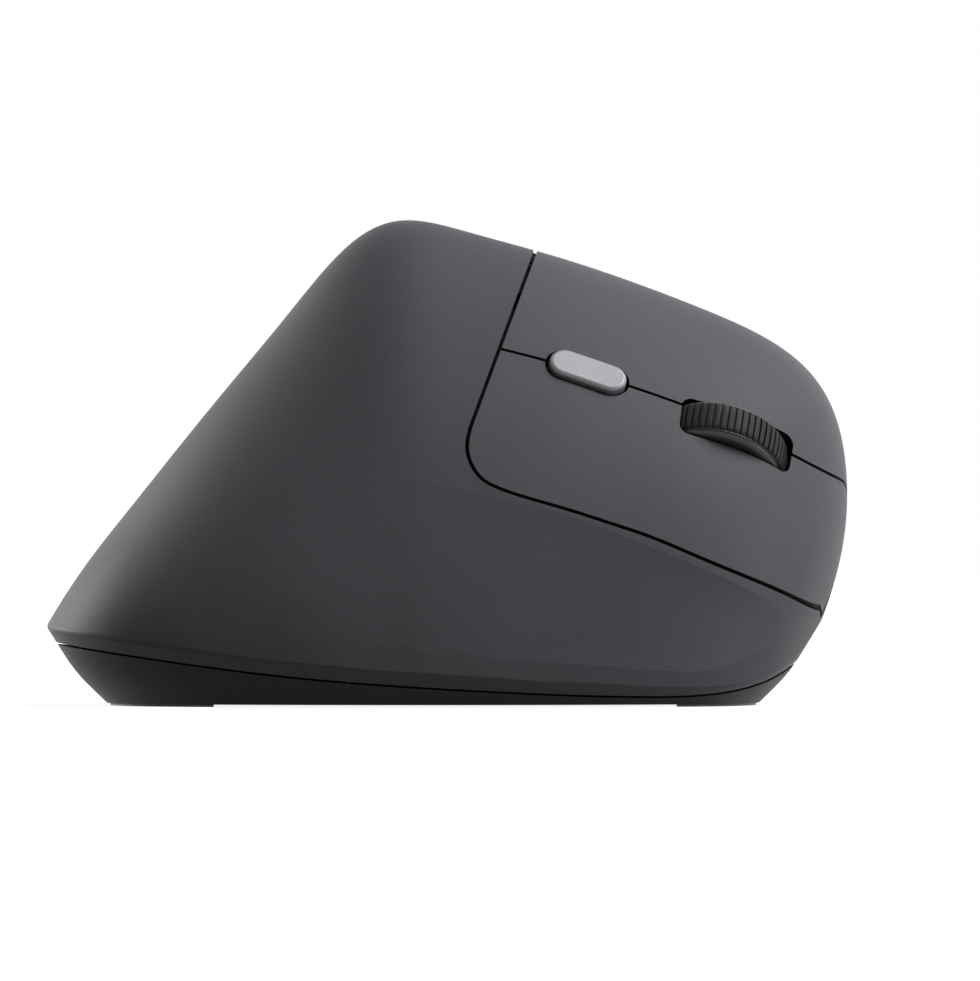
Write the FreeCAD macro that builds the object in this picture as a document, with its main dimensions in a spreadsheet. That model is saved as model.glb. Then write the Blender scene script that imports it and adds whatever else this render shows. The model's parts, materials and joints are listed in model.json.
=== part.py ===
# Right-handed vertical mouse: a tall wedge-shaped housing whose finger side leans over, with two
# click panels, a ribbed wheel, a pointer-speed button, two thumb buttons and one AA cell.
# Frame: +X is the finger side, +Y the nose, +Z up; the origin lies under the middle of the
# housing, on the surface that the feet stand on. Millimetres.

import FreeCAD
import Part
import Sketcher
import math
import os
from FreeCAD import Placement, Rotation, Vector

doc = FreeCAD.newDocument("vertical_mouse")

# Driving dimensions
SIZES = (
    ("body_length", 120.0, "tail to nose"),
    ("body_width", 77.5, "across the housing at its foot"),
    ("body_height", 72.6, "table to the top of the ridge"),
    ("foot_height", 0.35, "feet below the base"),
    ("shell_wall", 2.2, "wall of the moulded cover"),
    ("floor_wall", 1.65, "floor of the base"),
    ("seam_gap", 0.3, "cover to base"),
    ("crease_depth", 0.7, "hollow below the soft crease on the finger side"),
    ("lip_round", 0.8, "rounded lip around the foot of the cover"),
    ("panel_wall", 1.6, "wall of the click panels"),
    ("panel_gap", 0.55, "seam around and between the click panels"),
    ("front_gap", 1.0, "click panels to the cover edge that they move towards"),
    ("corner_round", 7.0, "rounded rear corner of the click panels"),
    ("frame_depth", 2.6, "skin to the inner frame under the panels"),
    ("frame_wall", 1.4, "wall of the inner frame"),
    ("frame_flange", 3.5, "frame behind the rim of the opening"),
    ("wheel_radius", 11.0, "tread crown"),
    ("wheel_width", 5.6, "over the side flanges"),
    ("wheel_proud", 2.6, "tread above the skin"),
    ("rib_count", 64, "grooves around the tread"),
    ("rib_width", 0.5, "each groove"),
    ("rib_depth", 0.5, "each groove"),
    ("axle_radius", 1.2, "wheel axle"),
    ("running_gap", 0.05, "radial, between a pin and its bore"),
    ("slot_length", 18.4, "wheel opening"),
    ("slot_width", 7.0, "wheel opening"),
    ("slot_round", 1.7, "corners of the wheel opening"),
    ("slot_rim", 0.4, "rim of the wheel opening above the relief for the wheel"),
    ("wheel_gap", 0.7, "wheel to the edges of its opening"),
    ("click_gap", 0.6, "a panel's post to the plunger of its switch, at rest"),
    ("cap_length", 12.0, "pointer-speed button"),
    ("cap_width", 5.2, "pointer-speed button"),
    ("cap_proud", 0.9, "pointer-speed button above the skin"),
    ("cap_travel", 0.5, "pointer-speed button"),
    ("cap_gap", 0.55, "around the pointer-speed button"),
    ("pivot_radius", 1.0, "rod that the click panels turn on"),
    ("pivot_back", 31.0, "wheel centre to the rod, rearward"),
    ("pivot_drop", 8.8, "wheel centre to the rod, inward"),
    ("lug_width", 2.4, "each pivot lug"),
    ("lug_radius", 2.1, "round end of each pivot lug"),
    ("board_wall", 1.6, "circuit boards"),
    ("finger_board_drop", 7.7, "wheel centre to the face of the finger board"),
    ("finger_board_width", 38.0, ""),
    ("finger_board_length", 40.0, ""),
    ("switch_length", 12.8, "click switch"),
    ("switch_width", 5.8, "click switch"),
    ("switch_height", 6.5, "click switch"),
    ("switch_side", 14.0, "click switch to the wheel's middle plane"),
    ("plunger_height", 0.7, "plunger above its switch"),
    ("key_size", 4.5, "small push switch"),
    ("key_height", 2.5, "small push switch"),
    ("thumb_width", 7.2, "height of the thumb buttons on the side"),
    ("thumb_proud", 0.9, "thumb buttons above the skin"),
    ("thumb_travel", 0.5, "thumb buttons"),
    ("thumb_gap", 0.4, "around the thumb buttons"),
    ("cell_diameter", 14.5, "AA cell"),
    ("cell_length", 50.5, "AA cell over its pip"),
    ("cell_back", 24.0, "cell behind the origin"),
    ("cell_clearance", 0.5, "cell to the base's floor and walls"),
    ("door_gap", 0.3, "around the battery door"),
    ("receiver_length", 18.7, "radio receiver with its plug"),
    ("receiver_width", 14.4, "radio receiver"),
    ("receiver_height", 6.1, "radio receiver"),
    ("main_board_width", 30.0, ""),
    ("main_board_length", 38.0, ""),
    ("main_board_lift", 5.0, "table to the underside of the main board"),
    ("screw_radius", 1.1, "case screws"),
    ("screw_head", 2.1, "radius of the case screw heads"),
    ("screw_length", 8.0, "case screws under the head"),
)
dims = doc.addObject("Spreadsheet::Sheet", "dims")
for row, (alias, value, note) in enumerate(SIZES, start=1):
    dims.set("A%d" % row, alias)
    dims.set("B%d" % row, str(value))
    dims.set("C%d" % row, note)
    dims.setAlias("B%d" % row, alias)
doc.recompute()


def size(alias):
    """A driving dimension, read back from the sheet."""
    return float(dims.get(alias))


# Skin
# The skin is one smooth surface over fan sections. Their planes turn about a line FAN_DEPTH
# below the table, so that each crosses the ridge squarely.
DRAWN_WIDTH, DRAWN_LENGTH, DRAWN_HEIGHT = 77.5, 120.0, 72.6
DRAWN_MIDDLE = 0.7
FAN_DEPTH = 30.0
SKIN_BOTTOM = -8.0
# angle, reach to the ridge, reach of the flanks, ridge x, right foot x, left foot x, form
SECTIONS = (
    (26.0, 51.5, 51.5, -6.0, 18.0, -24.0, -1.0),
    (37.0, 73.0, 72.0, -6.0, 29.0, -28.0, -1.0),
    (47.0, 89.5, 87.0, -6.0, 33.0, -30.0, -0.95),
    (56.0, 98.2, 94.5, -7.0, 35.5, -31.0, -0.8),
    (67.0, 96.7, 96.5, -8.0, 37.0, -33.0, -0.5),
    (79.0, 98.2, 97.2, -9.0, 38.5, -35.0, -0.2),
    (88.0, 100.7, 97.3, -10.0, 39.0, -37.0, 0.0),
    (94.0, 104.5, 96.5, -10.0, 39.5, -38.0, 0.0),
    (99.0, 100.8, 94.5, -10.0, 39.5, -38.0, 0.05),
    (106.0, 90.4, 90.5, -8.0, 39.5, -38.0, 0.15),
    (116.0, 81.9, 83.0, -6.0, 39.5, -37.0, 0.4),
    (129.0, 75.3, 76.0, -3.0, 38.5, -36.0, 0.7),
    (144.0, 73.7, 73.8, 0.0, 36.0, -34.0, 1.0),
    (160.0, 72.8, 72.7, 2.0, 21.0, -22.0, 1.0),
)
# Each form gives, from the right foot over the ridge to the left foot, how far out and how far
# up a section's control points lie: out 1 and -1 are the feet, up 1 is the ridge.
NOSE_OUT = (1.00, 0.97, 0.82, 0.54, 0.18, -0.28, -0.78, -0.92, -0.97, -1.00, -1.00)
NOSE_UP = (0.00, 0.24, 0.56, 0.83, 1.00, 1.04, 0.90, 0.64, 0.40, 0.20, 0.00)
WEDGE_OUT = (1.00, 0.99, 0.88, 0.57, 0.16, -0.22, -0.58, -0.60, -0.86, -1.02, -1.00)
WEDGE_UP = (0.00, 0.18, 0.44, 0.75, 0.97, 1.04, 0.84, 0.54, 0.32, 0.20, 0.00)
TAIL_OUT = (1.00, 1.01, 0.92, 0.64, 0.22, -0.22, -0.64, -0.90, -1.00, -1.02, -1.00)
TAIL_UP = (0.00, 0.36, 0.70, 0.93, 1.03, 1.03, 0.93, 0.70, 0.42, 0.22, 0.00)
# How much each control point follows the flanks' reach in place of the ridge's.
FLANK_SHARE = (1.0, 1.0, 1.0, 0.6, 0.1, 0.0, 0.4, 1.0, 1.0, 1.0, 1.0)
DEGREE = 3

across = size("body_width") / DRAWN_WIDTH
along = size("body_length") / DRAWN_LENGTH
upward = size("body_height") / DRAWN_HEIGHT


def at(x, y, z):
    """A point drawn on the housing, carried along when the housing's size changes."""
    return Vector((x - DRAWN_MIDDLE) * across, y * along, z * upward)


def mix(first, second, share):
    return first + (second - first) * share


def section_points(section):
    angle, ridge_reach, flank_reach, ridge_x, right_x, left_x, form = section
    turn = math.radians(angle)
    foot_reach = (SKIN_BOTTOM + FAN_DEPTH) / math.sin(turn)
    out_form, up_form = (TAIL_OUT, TAIL_UP) if form > 0 else (NOSE_OUT, NOSE_UP)
    points = []
    for i, share in enumerate(FLANK_SHARE):
        out = mix(WEDGE_OUT[i], out_form[i], abs(form))
        up = mix(WEDGE_UP[i], up_form[i], abs(form))
        foot_x = right_x if out > 0 else left_x
        reach = mix(foot_reach, mix(ridge_reach, flank_reach, share), up)
        x = mix(ridge_x, foot_x, abs(out))
        points.append(at(x, reach * math.cos(turn), reach * math.sin(turn) - FAN_DEPTH))
    return points


def clamped_knots(count):
    spans = count - DEGREE
    knots = [float(k) for k in range(spans + 1)]
    mults = [DEGREE + 1] + [1] * (spans - 1) + [DEGREE + 1]
    return knots, mults


def greville(count):
    """Where on the surface each control point has its strongest pull."""
    knots, mults = clamped_knots(count)
    full = [k for k, m in zip(knots, mults) for _ in range(m)]
    return [sum(full[i + 1:i + 1 + DEGREE]) / DEGREE for i in range(count)]


def surface_through(rows):
    row_knots, row_mults = clamped_knots(len(rows))
    column_knots, column_mults = clamped_knots(len(rows[0]))
    surface = Part.BSplineSurface()
    surface.buildFromPolesMultsKnots(rows, row_mults, column_mults, row_knots, column_knots,
                                     False, False, DEGREE, DEGREE)
    return surface


skin_rows = [section_points(section) for section in SECTIONS]
skin_surface = surface_through(skin_rows)
row_marks = greville(len(skin_rows))
column_marks = greville(len(FLANK_SHARE))
ridge_mark = column_marks[len(column_marks) // 2]
outward = 1.0 if skin_surface.normal(row_marks[7], ridge_mark).z > 0 else -1.0


def inset_rows(depth):
    """The skin's control points, moved inward by a depth; feet and end sections only across."""
    rows = []
    for row, mark in zip(skin_rows, row_marks):
        moved = []
        for i, point in enumerate(row):
            step = skin_surface.normal(mark, column_marks[i]) * (outward * -depth)
            if i in (0, len(row) - 1):
                step = Vector(math.copysign(depth, step.x), 0, 0)
            elif row in (skin_rows[0], skin_rows[-1]):
                step = Vector(step.x, 0, 0)
            moved.append(point + step)
        rows.append(moved)
    return rows


def closed_skin(depth):
    """The solid under the skin, or under a copy of the skin that lies deeper."""
    rows = inset_rows(depth) if depth else skin_rows
    surface = surface_through(rows)
    last_row = surface.bounds()[1]
    last_column = surface.bounds()[3]
    nose = surface.uIso(0).toShape()
    tail = surface.uIso(last_row).toShape()
    right = surface.vIso(0).toShape()
    left = surface.vIso(last_column).toShape()
    nose_foot = Part.makeLine(rows[0][0], rows[0][-1])
    tail_foot = Part.makeLine(rows[-1][0], rows[-1][-1])
    faces = [surface.toShape(), Part.Face(Part.Wire([nose, nose_foot])),
             Part.Face(Part.Wire([tail, tail_foot])),
             Part.Face(Part.Wire(Part.__sortEdges__([right, tail_foot, left, nose_foot])))]
    shell = Part.makeShell(faces)
    shell.sewShape()
    solid = Part.makeSolid(shell)
    solid.fix(0.001, 0.001, 0.001)
    return solid


skin = closed_skin(0)

# Underside
# The cover turns under along a lip and the base narrows down to its flat bottom: a flared
# hull whose plan outline grows with height. x and y of the outline at the bottom.
BOTTOM_OUTLINE = (
    (-2.0, -51.2), (14.0, -49.6), (23.5, -43.5), (29.6, -32.0), (33.3, -14.0), (33.2, 8.0),
    (28.6, 28.5), (20.5, 40.5), (9.0, 45.4), (-3.0, 46.6), (-14.5, 44.6), (-21.5, 37.0),
    (-26.5, 22.0), (-29.5, 3.0), (-29.2, -18.0), (-25.0, -35.0), (-15.0, -47.0),
)
# height above the bottom of the base, growth of the outline
HULL_FLARE = ((0.0, 0.0), (2.65, 2.7), (6.65, 5.9), (11.65, 9.0), (14.65, 11.5), (19.0, 17.0))
HULL_SLOPE = 1.35
FAR = 150.0


def closed_curve(points):
    curve = Part.BSplineCurve()
    steps = [float(k) for k in range(len(points) + 1)]
    curve.interpolate(Points=points, PeriodicFlag=True, Parameters=steps)
    return curve


def bottom_curve(growth, height):
    """The plan outline, grown outward by so much and lifted to a height."""
    drawn = [at(x, y, 0) for x, y in BOTTOM_OUTLINE]
    curve = closed_curve(drawn)
    grown = []
    for i, point in enumerate(drawn):
        ahead = curve.tangent(float(i))[0]
        grown.append(point + Vector(ahead.y, -ahead.x, 0) * growth + Vector(0, 0, height))
    return closed_curve(grown)


def hull(inset):
    foot = size("foot_height")
    wires = []
    for height, growth in HULL_FLARE:
        curve = bottom_curve(growth - inset, foot + height * upward)
        wires.append(Part.Wire([curve.toShape()]))
    return Part.makeLoft(wires, True)


def slab(low, high):
    """Everything between two heights."""
    return Part.makeBox(2 * FAR, 2 * FAR, high - low, Vector(-FAR, -FAR, low))


hull_top = size("foot_height") + HULL_FLARE[-1][0] * upward


def housing_form(depth):
    """The whole housing as one solid, or its core under a wall."""
    around = slab(SKIN_BOTTOM * upward - 5.0, hull_top).cut(hull(depth * HULL_SLOPE))
    return closed_skin(depth).cut(around)


body = housing_form(0)
core = housing_form(size("shell_wall"))

# Side elevations
# Seams are drawn on the side view, as y and z, and carried onto the skin.


def on_skin(y, z, surface=skin_surface, from_right=True):
    """The point of the skin that the side view shows at y and z."""
    ray = Part.Line(Vector(-FAR, y * along, z * upward), Vector(FAR, y * along, z * upward))
    found = ray.intersect(surface)[0]
    places = sorted((Vector(p.X, p.Y, p.Z) for p in found), key=lambda p: p.x)
    return places[-1] if from_right else places[0]


def side_curve(marks):
    curve = Part.BSplineCurve()
    curve.interpolate([Vector(0, y * along, z * upward) for y, z in marks])
    return curve


def side_region(marks, shift, far_z):
    """The solid on one side of a curve drawn on the side view, along the whole width."""
    curve = side_curve(marks)
    curve.translate(Vector(-FAR, 0, shift))
    first, last = curve.StartPoint, curve.EndPoint
    top_first = Vector(-FAR, first.y, far_z)
    top_last = Vector(-FAR, last.y, far_z)
    wire = Part.Wire([curve.toShape(), Part.makeLine(last, top_last),
                      Part.makeLine(top_last, top_first), Part.makeLine(top_first, first)])
    return Part.Face(wire).extrude(Vector(2 * FAR, 0, 0))


BASE_SEAM = ((-80.0, 12.4), (-58.2, 9.2), (-40.5, 6.6), (-23.6, 4.5), (4.7, 2.4), (29.0, 1.5),
             (39.0, 1.8), (44.0, 2.6), (49.0, 4.4), (52.5, 6.8), (55.0, 9.6), (60.0, 18.0),
             (70.0, 40.0))
cover_side = side_region(BASE_SEAM, size("seam_gap") / 2, FAR)
base_side = side_region(BASE_SEAM, -size("seam_gap") / 2, -FAR)

# Press frame
# The fingers press square to the leaning face. X runs along the wheel's axle, Y forward and
# down along the face, Z out of it; the origin is the middle of the wheel.
PRESS_YAW, PRESS_TILT, FACE_FALL = 31.0, 30.4, 22.5
WHEEL_MARK = (43.46, 40.95)
yaw, tilt = math.radians(PRESS_YAW), math.radians(PRESS_TILT)
press_z = Vector(math.cos(tilt) * math.cos(yaw), math.cos(tilt) * math.sin(yaw), math.sin(tilt))
fall = math.tan(math.radians(FACE_FALL))
press_y = Vector(-(press_z.y - fall * press_z.z) / press_z.x, 1, -fall).normalize()
press_x = press_y.cross(press_z)
press_turn = Rotation(press_x, press_y, press_z, "ZYX")
wheel_skin = on_skin(*WHEEL_MARK)
wheel_centre = wheel_skin - press_z * (size("wheel_radius") - size("wheel_proud"))
press_place = Placement(wheel_centre, press_turn)


def press_local(point):
    return press_place.inverse().multVec(point)


def press_box(low, high):
    """A box in the press frame between two corners."""
    spans = [b - a for a, b in zip(low, high)]
    box = Part.makeBox(spans[0], spans[1], spans[2], Vector(*low))
    box.Placement = press_place.multiply(box.Placement)
    return box


def press_rod(centre, direction, radius, length):
    rod = Part.makeCylinder(radius, length, Vector(*centre), Vector(*direction))
    rod.Placement = press_place.multiply(rod.Placement)
    return rod


def press_prism(wire, low, high):
    """A closed flat wire of the press frame, run outward between two heights."""
    prism = Part.Face(wire).extrude(Vector(0, 0, high - low))
    prism.translate(Vector(0, 0, low))
    prism.Placement = press_place.multiply(prism.Placement)
    return prism


# Opening of the click panels
REAR_SEAM_TOP = (12.6, 67.7)
REAR_CORNER = (0.3, 34.2)
LOWER_SEAM = ((9.1, 31.8), (17.4, 29.2), (23.6, 27.2), (29.8, 25.1), (37.2, 22.0), (45.6, 18.5),
              (51.0, 16.1), (55.5, 14.1))
SPLIT_SEAM = ((7.2, 53.4), (20.75, 49.7), (35.8, 44.6), (51.3, 37.5), (59.3, 33.4))
PANEL_REACH = -12.0
REAR_DRAFT = 1.2
RUN_OUT = 28.0


def side_line(start, end, count):
    return [(mix(start[0], end[0], k / count), mix(start[1], end[1], k / count))
            for k in range(count + 1)]


def rounded_corner(before, corner, after, radius, count):
    """Points of the round that joins two straight lines of the side view."""
    a = Vector(before[0] - corner[0], before[1] - corner[1], 0).normalize()
    b = Vector(after[0] - corner[0], after[1] - corner[1], 0).normalize()
    half = a.getAngle(b) / 2
    middle = Vector(corner[0], corner[1], 0) + (a + b).normalize() * (radius / math.sin(half))
    start = Vector(corner[0], corner[1], 0) + a * (radius / math.tan(half)) - middle
    sweep = math.pi - 2 * half
    turn = sweep if a.cross(b).z < 0 else -sweep
    points = []
    for k in range(count + 1):
        angle = turn * k / count
        points.append((middle.x + start.x * math.cos(angle) - start.y * math.sin(angle),
                       middle.y + start.x * math.sin(angle) + start.y * math.cos(angle)))
    return points


def press_marks(marks):
    """Side view marks, carried onto the skin and seen along the press direction."""
    places = [press_local(on_skin(y, z)) for y, z in marks]
    return [Vector(p.x, p.y, 0) for p in places]


def run_out(marks):
    """Flat points with a straight run beyond each end."""
    before = (marks[0] - marks[1]).normalize() * RUN_OUT
    after = (marks[-1] - marks[-2]).normalize() * RUN_OUT
    return marks[0] + before, marks[-1] + after


def smooth(marks):
    curve = Part.BSplineCurve()
    curve.interpolate(marks)
    return curve.toShape()


corner_marks = rounded_corner(REAR_SEAM_TOP, REAR_CORNER, LOWER_SEAM[0], size("corner_round"), 4)
ridge_mark_back = (REAR_SEAM_TOP[0] - REAR_DRAFT, REAR_SEAM_TOP[1])
edge_marks = side_line(ridge_mark_back, corner_marks[0], 3)[:-1] + corner_marks + list(LOWER_SEAM[1:])
opening_marks = press_marks(edge_marks)


def opening_face(grow):
    """The opening in the press plane: the seam's rear and lower edges, open to ridge and nose."""
    curve = Part.BSplineCurve()
    curve.interpolate(opening_marks)
    marks = []
    for mark in opening_marks:
        ahead = curve.tangent(curve.parameter(mark))[0]
        marks.append(mark + Vector(ahead.y, -ahead.x, 0) * grow)
    ridge_end, nose_end = run_out(marks)
    nose_corner = Vector(nose_end.x, FAR / 2, 0)
    far_corner = Vector(-FAR / 2, FAR / 2, 0)
    ridge_corner = Vector(-FAR / 2, ridge_end.y, 0)
    stops = [marks[-1], nose_end, nose_corner, far_corner, ridge_corner, ridge_end, marks[0]]
    sides = [Part.makeLine(start, end) for start, end in zip(stops, stops[1:])]
    return Part.Face(Part.Wire([smooth(marks)] + sides))


rear_row = Vector(0, (REAR_SEAM_TOP[0] - corner_marks[0][0]) * along,
                  (REAR_SEAM_TOP[1] - corner_marks[0][1]) * upward).normalize()
rear_out = Vector(0, -rear_row.z, rear_row.y)
rear_foot_mark = Vector(0, corner_marks[0][0] * along, corner_marks[0][1] * upward)


def ahead_of_rear_seam(grow):
    """The half of space in front of the straight rear seam, whose walls run across the housing."""
    half = Part.makeBox(FAR, 2 * FAR, 2 * FAR, Vector(-grow, -FAR, -FAR))
    turn = Rotation(rear_out * -1, rear_row, Vector(1, 0, 0), "ZYX")
    half.Placement = Placement(rear_foot_mark, turn).multiply(half.Placement)
    return half


def opening_prism(grow, low):
    """The opening, grown or shrunk in its plane, from a height out past the skin."""
    prism = opening_face(grow).extrude(Vector(0, 0, FAR / 2 - low))
    prism.translate(Vector(0, 0, low))
    prism.Placement = press_place.multiply(prism.Placement)
    return prism.common(ahead_of_rear_seam(grow))


def slot_wire(length, width, corner, centre, heading):
    """A rounded rectangle in the press plane, its length along a heading."""
    half_l, half_w = length / 2 - corner, width / 2 - corner
    edges = []
    for k, (sx, sy) in enumerate(((1, 1), (-1, 1), (-1, -1), (1, -1))):
        arc = Part.Circle(Vector(sx * half_w, sy * half_l, 0), Vector(0, 0, 1), corner)
        edges.append(Part.Arc(arc, k * math.pi / 2, (k + 1) * math.pi / 2).toShape())
    lines = []
    for this, following in zip(edges, edges[1:] + edges[:1]):
        start = this.Vertexes[-1].Point
        end = following.Vertexes[0].Point
        if start.distanceToPoint(end) > 0.001:
            lines.append(Part.makeLine(start, end))
    wire = Part.Wire(Part.__sortEdges__(edges + lines))
    wire.Placement = Placement(centre, Rotation(Vector(0, 0, 1), -heading))
    return wire


# Pointer-speed button: it lies along the split seam, behind the wheel.
CAP_MARK = (20.75, 49.7)
CAP_AHEAD = (24.3, 48.45)
cap_skin = on_skin(*CAP_MARK)
cap_row = (on_skin(*CAP_AHEAD) - cap_skin).normalize()
cap_u, cap_v = skin_surface.parameter(cap_skin)
cap_z = skin_surface.normal(cap_u, cap_v) * outward
cap_y = (cap_row - cap_z * cap_row.dot(cap_z)).normalize()
cap_place = Placement(cap_skin, Rotation(cap_y.cross(cap_z), cap_y, cap_z, "ZYX"))


def cap_prism(gap, low, high):
    width = size("cap_width") + 2 * gap
    wire = slot_wire(size("cap_length") + 2 * gap, width, width / 2 - 0.001, Vector(), 0)
    prism = Part.Face(wire).extrude(Vector(0, 0, high - low))
    prism.translate(Vector(0, 0, low))
    prism.Placement = cap_place.multiply(prism.Placement)
    return prism


wheel_opening = press_prism(slot_wire(size("slot_length"), size("slot_width"), size("slot_round"),
                                      Vector(), 0), -2.0, 30.0)
cap_opening = cap_prism(size("cap_gap"), -6.0, 10.0)

# Click panels
panel_inner = closed_skin(size("panel_wall"))
panel_form = opening_prism(-size("panel_gap"), PANEL_REACH + size("front_gap")).common(skin)
panels = panel_form.cut(panel_inner)
split_marks = press_marks(SPLIT_SEAM)
split_rear, split_nose = run_out(split_marks)
half_gap = size("panel_gap") / 2
split_line = Part.Wire([Part.makeLine(split_rear, split_marks[0]), smooth(split_marks),
                        Part.makeLine(split_marks[-1], split_nose)])
side_step = Vector(half_gap, 0, 0)
near = split_line.copy()
near.translate(side_step)
away = split_line.copy()
away.translate(side_step * -1)
ends = [Part.makeLine(split_rear - side_step, split_rear + side_step),
        Part.makeLine(split_nose - side_step, split_nose + side_step)]
split_prism = press_prism(Part.Wire(Part.__sortEdges__(near.Edges + away.Edges + ends)),
                          -FAR / 2, FAR / 2)
wheel_round = press_rod((-size("slot_width") / 2, 0, 0), (1, 0, 0),
                        size("wheel_radius") + size("wheel_gap"), size("slot_width"))
wheel_relief = wheel_round.common(closed_skin(size("slot_rim")))
panels = panels.cut([split_prism, wheel_opening, wheel_relief, cap_opening])
panel_solids = sorted(panels.Solids, key=lambda solid: solid.Volume, reverse=True)[:2]
left_panel, right_panel = sorted(panel_solids, key=lambda s: s.CenterOfMass.z, reverse=True)

# Pivot of the click panels
# One rod runs under the rear edge of both panels; each panel has two lugs on it and the inner
# frame carries it between them.
PANEL_LUGS = {"left": (-19.0, -9.6), "right": (1.0, 10.6)}
FRAME_LUGS = (-23.0, -14.3, -4.3, 5.8, 14.6)
pivot_y, pivot_z = -size("pivot_back"), -size("pivot_drop")
STEM_BACK = 1.3
lug_half = size("lug_width") / 2
rod_bore = size("pivot_radius") + size("running_gap")


def lug(x, top, trim):
    """A round-ended lug from the pivot rod up to a height, trimmed to a form."""
    radius = size("lug_radius")
    stem = press_box((x - lug_half, pivot_y - STEM_BACK, pivot_z),
                     (x + lug_half, pivot_y + radius, top))
    eye = press_rod((x - lug_half, pivot_y, pivot_z), (1, 0, 0), radius, 2 * lug_half)
    return stem.fuse(eye).common(trim)


def bored(shape, start, length, radius):
    return shape.cut(press_rod((start, pivot_y, pivot_z), (1, 0, 0), radius, length))


switch_base = -size("finger_board_drop")
plunger_top = switch_base + size("switch_height") + size("plunger_height")
plunger_y = 4.0
post_radius = 1.8
lug_trim = closed_skin(size("panel_wall") / 2)


def click_panel(panel, side):
    """A panel with its pivot lugs and the post that reaches its switch."""
    sign = -1 if side == "left" else 1
    reach = press_rod((sign * size("switch_side"), plunger_y, plunger_top + size("click_gap")), (0, 0, 1),
                      post_radius, 30.0).common(lug_trim)
    shape = panel.fuse([reach] + [lug(x, 20.0, lug_trim) for x in PANEL_LUGS[side]])
    shape = shape.removeSplitter()
    return bored(shape, -40.0, 80.0, rod_bore)


left_click_shape = click_panel(left_panel, "left")
right_click_shape = click_panel(right_panel, "right")

# Inner frame
frame_outer = housing_form(size("frame_depth"))
frame_inner = closed_skin(size("frame_depth") + size("frame_wall"))
frame_reach = PANEL_REACH - size("frame_flange")
frame_shape = opening_prism(size("frame_flange"), frame_reach).common(frame_outer)
frame_shape = frame_shape.cut(frame_inner)
window_gap = 0.7
windows = [press_box((-4.6, -12.4, -3.0), (4.6, 12.4, 25.0)), cap_prism(0.3, -9.0, 6.0)]
for sign in (-1, 1):
    windows.append(press_rod((sign * size("switch_side"), plunger_y, -6.0), (0, 0, 1),
                             post_radius + window_gap, 30.0))
for x in PANEL_LUGS["left"] + PANEL_LUGS["right"]:
    lug_reach = size("lug_radius") + window_gap
    windows.append(press_box((x - lug_half - window_gap, pivot_y - lug_reach, -12.0),
                             (x + lug_half + window_gap, pivot_y + lug_reach, 12.0)))
frame_shape = frame_shape.cut(windows)
frame_trim = closed_skin(size("frame_depth") + size("frame_wall") / 2)
GUIDE_Y = 14.2
guide_radius = 1.0
POST_PLACES = ((-15.0, -20.0), (15.0, -20.0), (-15.0, 10.8), (15.0, 10.8))
stand_radius = 2.0
ribs = [lug(x, 20.0, frame_trim) for x in FRAME_LUGS]
for y in (-GUIDE_Y, GUIDE_Y):
    ribs.append(press_rod((0, y, switch_base), (0, 0, 1), guide_radius, 30.0).common(frame_trim))
for x, y in POST_PLACES:
    ribs.append(press_rod((x, y, switch_base), (0, 0, 1), stand_radius, 30.0).common(frame_trim))
frame_shape = frame_shape.fuse(ribs)
frame_shape = bored(frame_shape, -40.0, 80.0, rod_bore)
screw_bore = 0.8
for x, y in POST_PLACES:
    frame_shape = frame_shape.cut(press_rod((x, y, switch_base), (0, 0, 1), screw_bore, 6.0))

# Crease
# Just below the click panels the finger side turns in along a soft crease, which fades out at
# both ends. The hollow below it is cut by a surface that dips under the skin.
# y, z of the crease, z of the lip below it, share of the full depth
CREASE = (
    (-32.0, 31.0, 7.5, -0.25),
    (-22.0, 33.5, 6.5, -0.12),
    (-10.0, 34.0, 5.5, 0.05),
    (2.4, 32.3, 4.5, 0.4),
    (15.8, 29.0, 3.8, 0.95),
    (26.5, 25.2, 3.4, 1.0),
    (37.3, 20.8, 3.4, 0.95),
    (44.5, 17.5, 6.0, 0.65),
    (49.0, 15.2, 8.5, 0.1),
    (52.5, 13.8, 10.5, -0.6),
)
# How far down from the crease to the lip, and how deep under the skin.
CREASE_DIP = ((-0.3, -1.1), (-0.15, -0.6), (0.0, 0.0), (0.2, 0.6), (0.4, 0.8), (0.6, 0.7),
              (0.8, 0.3), (0.9, -0.05), (1.05, -0.6), (1.2, -1.2))
CREASE_STEPS = 22
DIP_STEPS = 18


def even_points(marks, steps):
    """Evenly spread points of the smooth curve through some marks."""
    curve = Part.BSplineCurve()
    curve.interpolate(Points=marks, Parameters=[float(k) for k in range(len(marks))])
    return [curve.value((len(marks) - 1.0) * k / steps) for k in range(steps + 1)]


crease_line = even_points([Vector(y, top, foot) for y, top, foot, share in CREASE], CREASE_STEPS)
crease_share = even_points([Vector(y, share, 0) for y, top, foot, share in CREASE], CREASE_STEPS)
crease_dip = even_points([Vector(down, dip, 0) for down, dip in CREASE_DIP], DIP_STEPS)
crease_rows = []
for line, share in zip(crease_line, crease_share):
    row = []
    for dip in crease_dip:
        skin_point = on_skin(line.x, mix(line.y, line.z, dip.x))
        depth = dip.y * share.y if dip.y > 0 and share.y > 0 else min(dip.y, share.y)
        row.append(skin_point - Vector(size("crease_depth") * depth, 0, 0))
    crease_rows.append(row)
crease_surface = Part.BSplineSurface()
crease_surface.interpolate(crease_rows)
crease_cut = crease_surface.toShape().extrude(Vector(FAR, 0, 0))

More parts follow.
